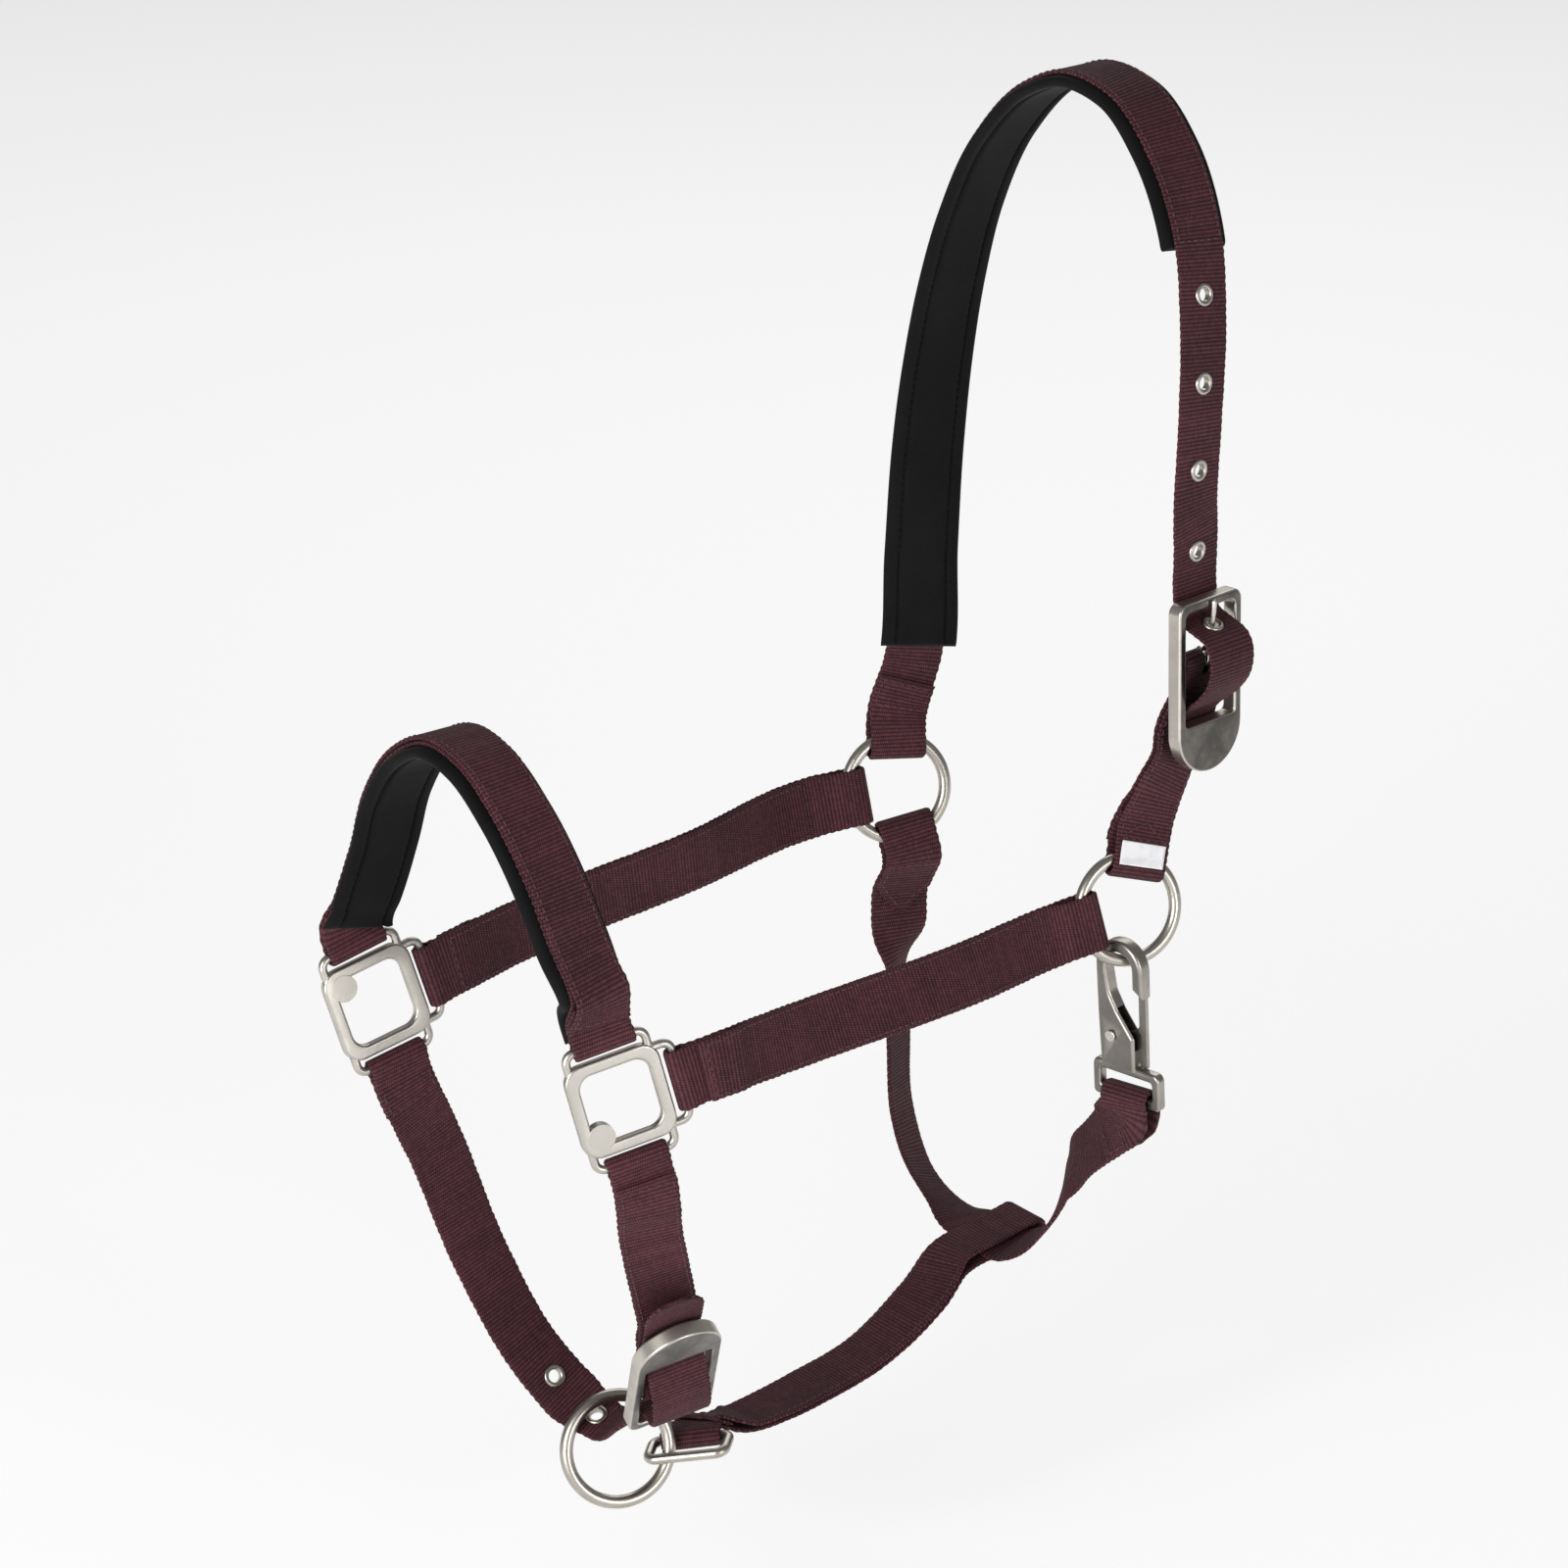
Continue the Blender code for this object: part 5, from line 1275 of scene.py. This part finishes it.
def cheek(name, square_place, ring_place, angle, points, turned):
    route = Route(bail_end(square_place, (1, 0), 1) + stations(points)
                  + ring_end(ring_place, RING_RADIUS, angle, turned)[::-1])
    strap = Strap(route, BAIL_LOOP, RING_LOOP).band()
    webbing(f"{name}_cheek_webbing", strap, f"{name}_cheek_strap")
    sewing = Sewing()
    ring_side = route.length - 24.0 * MM
    sewing.boxed(side_of(strap, strap.lapped, 1.0), PLY_END + 2.5 * MM, ring_side)
    sewing.boxed(side_of(strap, lambda arc: -strap.spread(arc), -1.0), PLY_END + 2.5 * MM, ring_side)
    sewing.done(f"{name}_cheek_stitching", THREAD)


def tongue(name, route, place, loop, eyelets, pinch=0.0, pinched=(0, 0, 0)):
    """A strap sewn round a bar or a ring at one end, laced through a buckle at the other."""
    strap = Strap(route, loop)
    strap.pinch = pinch
    strap.pinched = route.nearest(millimetres(*pinched))
    laced_arc = route.nearest(place @ millimetres(0.0, *LACED_EYELET))
    seats = []
    for back in eyelets:
        arc = laced_arc - back * MM
        seats.append((arc, seat(route, arc)))
    strap.ply(loop.back, 0.0, lambda arc: -strap.spread(arc))
    strap.turn(False, -1.0)
    strap.ply(0.0, route.length, strap.single, tip=round_tip, seats=seats)
    webbing(f"{name}_webbing", strap, f"{name}_strap", [matrix for _, matrix in seats])
    for index, (_, matrix) in enumerate(seats):
        eyelet(f"{name}_eyelet_{index + 1}", matrix)
    return strap


def crown():
    route = Route(ring_end(OFF_RING, RING_RADIUS, OFF_CROWN_ANGLE, -1) + stations(CROWN_ROUTE)
                  + laced(CROWN_BUCKLE, LACING + CROWN_TAIL))
    strap = tongue("crown", route, CROWN_BUCKLE, RING_LOOP, CROWN_EYELETS)
    stop = route.nearest(millimetres(*CROWN_PAD_STOP))
    sewing = Sewing()
    outside = side_of(strap, strap.single, 1.0)
    sewing.boxed(outside, CROWN_PAD_START + 3.0 * MM, stop - 3.0 * MM)
    sewing.boxed(outside, 18.0 * MM, 28.0 * MM)
    sewing.boxed(side_of(strap, lambda arc: -strap.spread(arc), -1.0), 18.0 * MM, 28.0 * MM)
    sewing.done("crown_stitching", THREAD)
    gap = WEB_THICKNESS / 2 + FIT
    padding("crown_padding", "crown_pad", route, CROWN_PAD_START, stop, lambda arc: strap.single(arc) - gap)


def crown_chape():
    route = Route(ring_end(NEAR_RING, RING_RADIUS, NEAR_CHAPE_ANGLE, 1) + stations(CROWN_CHAPE_ROUTE)
                  + laced(CROWN_BUCKLE, CHAPE_LACING, -1, CHAPE_LEAN))
    strap = Strap(route, RING_LOOP, BUCKLE_LOOP).band(-1.0, slot=True)
    webbing("crown_chape_webbing", strap, "crown_chape")
    sewing = Sewing()
    outside = side_of(strap, strap.spread, 1.0)
    label_end = LABEL_PLACE + LABEL_LENGTH
    sewing.boxed(outside, label_end + 1.0 * MM, route.length - 22.0 * MM)
    sewing.run(outside, (label_end + 1.0 * MM, -STITCH_EDGE), (label_end + 9.0 * MM, 0.0))
    sewing.run(outside, (label_end + 9.0 * MM, 0.0), (label_end + 1.0 * MM, STITCH_EDGE))
    inside = side_of(strap, lambda arc: -strap.lapped(arc), -1.0)
    sewing.boxed(inside, PLY_END + 2.5 * MM, route.length - 22.0 * MM)
    sewing.done("crown_chape_stitching", THREAD)
    label(strap)


def label(strap):
    """A plain tape label caught under the chape's stitching, its free corner lifting a little."""
    bm = bmesh.new()
    ribs = bm.verts.layers.float.new("rib")
    grid = []
    for step in range(15):
        share = step / 14
        arc = LABEL_PLACE + LABEL_LENGTH * share
        point, _, across, outward = strap.route.at(arc)
        row = []
        for place in np.linspace(-0.5, 0.5, 25):
            lift = strap.spread(arc - LABEL_EASE) + WEB_THICKNESS / 2 + FIT + LABEL_THICKNESS / 2
            lift += LABEL_CURL * (1.0 - share) ** 2 * (0.5 + 0.5 * math.sin(place * 5.0 + 0.8))
            row.append(bm.verts.new(point + outward * lift + across * (place * LABEL_WIDTH)))
            row[-1][ribs] = step / 2
        grid.append(row)
    bridged(bm, grid)
    made = shown("label_tape", settled("label_tape", bm), TAPE, "headcollar", ("care_label",))
    solid = made.modifiers.new("thickness", "SOLIDIFY")
    solid.thickness = LABEL_THICKNESS
    solid.offset = 0.0


def chin():
    route = Route(bail_end(OFF_SQUARE, (0, 1), -1) + stations(CHIN_ROUTE)
                  + laced(CHIN_BUCKLE, CHIN_LACING + CHIN_TAIL, -1))
    strap = tongue("chin", route, CHIN_BUCKLE, BAIL_LOOP, CHIN_EYELETS, CHIN_PINCH, CHIN_CROSSING)
    sewing = Sewing()
    sewing.boxed(side_of(strap, lambda arc: -strap.spread(arc), -1.0), 11.0 * MM, 20.0 * MM)
    sewing.boxed(side_of(strap, strap.single, 1.0), 11.0 * MM, 20.0 * MM)
    sewing.done("chin_stitching", THREAD)


def chin_chape():
    route = Route(bail_end(NEAR_SQUARE, (0, -1), 1) + stations(CHIN_CHAPE_ROUTE)
                  + laced(CHIN_BUCKLE, CHAPE_LACING, -1))
    strap = Strap(route, BAIL_LOOP, BUCKLE_LOOP).band(1.0, slot=True)
    webbing("chin_chape_webbing", strap, "chin_chape")
    sewing = Sewing()
    sewing.boxed(side_of(strap, strap.lapped, 1.0), PLY_END + 2.5 * MM, route.length - 24.0 * MM)
    sewing.boxed(side_of(strap, lambda arc: -strap.spread(arc), -1.0), PLY_END + 2.5 * MM,
                 route.length - 24.0 * MM)
    sewing.done("chin_chape_stitching", THREAD)


def throat():
    """The throat strap, from the off ring under the jaw to the snap hook's eye."""
    across = HOOK.to_3x3() @ Vector((-1, 0, 0))
    route = Route(ring_end(OFF_RING, RING_RADIUS, OFF_THROAT_ANGLE, 1) + stations(THROAT_ROUTE)
                  + [(HOOK @ Vector((0.0, -EYE_LEAD, 0.0)), across), (HOOK.translation, across)])
    strap = Strap(route, RING_LOOP, EYE_LOOP)
    tail = Strap(route, RING_LOOP, EYE_LOOP).ply(0.0, THROAT_TAIL, strap.spread, tip=point_tip)
    strap.rows = tail.rows[::-1]
    strap.turn(False, 1.0)
    strap.ply(0.0, route.length, lambda arc: -strap.spread(arc))
    strap.turn(True, -1.0)
    strap.ply(route.length, route.length - EYE_LOOP.back, strap.spread)
    webbing("throat_webbing", strap, "throat_strap")
    sewing = Sewing()
    inside = side_of(strap, strap.spread, 1.0)
    shoulder = THROAT_TAIL - 16.0 * MM
    sewing.edges(inside, 16.0 * MM, shoulder)
    sewing.across(inside, 16.0 * MM)
    for side in (-1.0, 1.0):
        sewing.run(inside, (shoulder, side * STITCH_EDGE), (THROAT_TAIL - 3.5 * MM, side * 1.5 * MM))
    sewing.boxed(inside, route.length - 27.0 * MM, route.length - 15.0 * MM)
    sewing.done("throat_stitching", THREAD)
    return route


def jaw(throat_route):
    """The jaw strap, from the link to a sewn loop round the throat strap."""
    point, tangent, across, outward = throat_route.at(throat_route.nearest(millimetres(*JAW_CROSSING)))
    centre = point - outward * PLY / 2
    rear = across * (WEB_WIDTH / 2 + JAW_SLACK)
    bar = LINK @ Vector((0.0, LINK_DEPTH / 2, 0.0))
    axis = LINK.to_3x3() @ Vector((1, 0, 0))
    lead = LINK @ Vector((0.0, LINK_DEPTH / 2 + BAIL_LEAD, 0.0))
    entry = centre - rear - across * JAW_LEAD
    route = Route([(bar, axis), (lead, axis)] + stations(JAW_ROUTE)
                  + [(entry, tangent), (centre, tangent), (centre + rear, tangent)])
    strap = Strap(route, LINK_LOOP, STRAP_LOOP).band(-1.0)
    webbing("jaw_webbing", strap, "jaw_strap")
    sewing = Sewing()
    stop = route.length - STRAP_LOOP.hold - 8.0 * MM
    sewing.boxed(side_of(strap, strap.spread, 1.0), PLY_END + 2.5 * MM, stop)
    sewing.boxed(side_of(strap, lambda arc: -strap.lapped(arc), -1.0), PLY_END + 2.5 * MM, stop)
    sewing.done("jaw_stitching", THREAD)


def studio():
    """A pale floor, soft light from both sides of the camera, and the camera."""
    scene = bpy.context.scene
    toward = Vector((math.sin(SIGHT_AZIMUTH) * math.cos(SIGHT_ELEVATION),
                     -math.cos(SIGHT_AZIMUTH) * math.cos(SIGHT_ELEVATION), math.sin(SIGHT_ELEVATION)))
    right = Vector((math.cos(SIGHT_AZIMUTH), math.sin(SIGHT_AZIMUTH), 0.0))

    camera = bpy.data.objects.new("camera", bpy.data.cameras.new("camera"))
    camera.data.sensor_width = SENSOR
    camera.data.lens = SENSOR * SIGHT_DISTANCE / SIGHT_WIDTH
    camera.location = SIGHT + toward * SIGHT_DISTANCE
    camera.rotation_euler = (-toward).to_track_quat("-Z", "Y").to_euler()
    scene.collection.objects.link(camera)
    scene.camera = camera

    for name, sideways, forward, height, size, power in SOFT_BOXES:
        lamp = bpy.data.lights.new(name, "AREA")
        lamp.shape = "RECTANGLE"
        lamp.size, lamp.size_y = size
        lamp.energy = power
        box = bpy.data.objects.new(name, lamp)
        level = Vector((toward.x, toward.y, 0.0)).normalized()
        box.location = SIGHT + right * sideways + level * forward + Vector((0.0, 0.0, height))
        box.rotation_euler = (SIGHT - box.location).to_track_quat("-Z", "Y").to_euler()
        scene.collection.objects.link(box)

    world = bpy.data.worlds.new("studio_air")
    world.use_nodes = True
    air = world.node_tree.nodes["Background"]
    air.inputs["Color"].default_value = colour(1.0, 1.0, 1.0)
    air.inputs["Strength"].default_value = AIR_STRENGTH
    scene.world = world
    scene.view_settings.view_transform = "Standard"

    bm = bmesh.new()
    bmesh.ops.create_grid(bm, x_segments=1, y_segments=1, size=FLOOR_SIZE)
    floor = bpy.data.objects.new("floor", settled("floor", bm))
    floor.location = (0.0, 0.0, CAD_BOX[0].z - FLOOR_DROP)
    pale = Finish("pale_floor")
    pale.surface(Base_Color=colour(0.86, 0.86, 0.86), Roughness=0.9, Emission_Color=colour(1.0, 1.0, 1.0),
                 Emission_Strength=FLOOR_GLOW)
    floor.data.materials.append(pale.material)
    scene.collection.objects.link(floor)


def main():
    studio()
    square("near_square", NEAR_SQUARE)
    square("off_square", OFF_SQUARE)
    ring("near_ring", NEAR_RING, RING_RADIUS, RING_WIRE, NEAR_WELD)
    ring("off_ring", OFF_RING, RING_RADIUS, RING_WIRE, OFF_WELD)
    ring("chin_ring", CHIN_RING, CHIN_RING_RADIUS, CHIN_RING_WIRE, CHIN_WELD)
    link()
    for name, place in (("crown", CROWN_BUCKLE), ("chin", CHIN_BUCKLE)):
        buckle(f"{name}_buckle", place)
        prong(f"{name}_prong", place)
    snap()
    noseband()
    cheek("near", NEAR_SQUARE, NEAR_RING, NEAR_CHEEK_ANGLE, NEAR_CHEEK_ROUTE, -1)
    cheek("off", OFF_SQUARE, OFF_RING, OFF_CHEEK_ANGLE, OFF_CHEEK_ROUTE, 1)
    crown()
    crown_chape()
    chin()
    chin_chape()
    jaw(throat())


main()
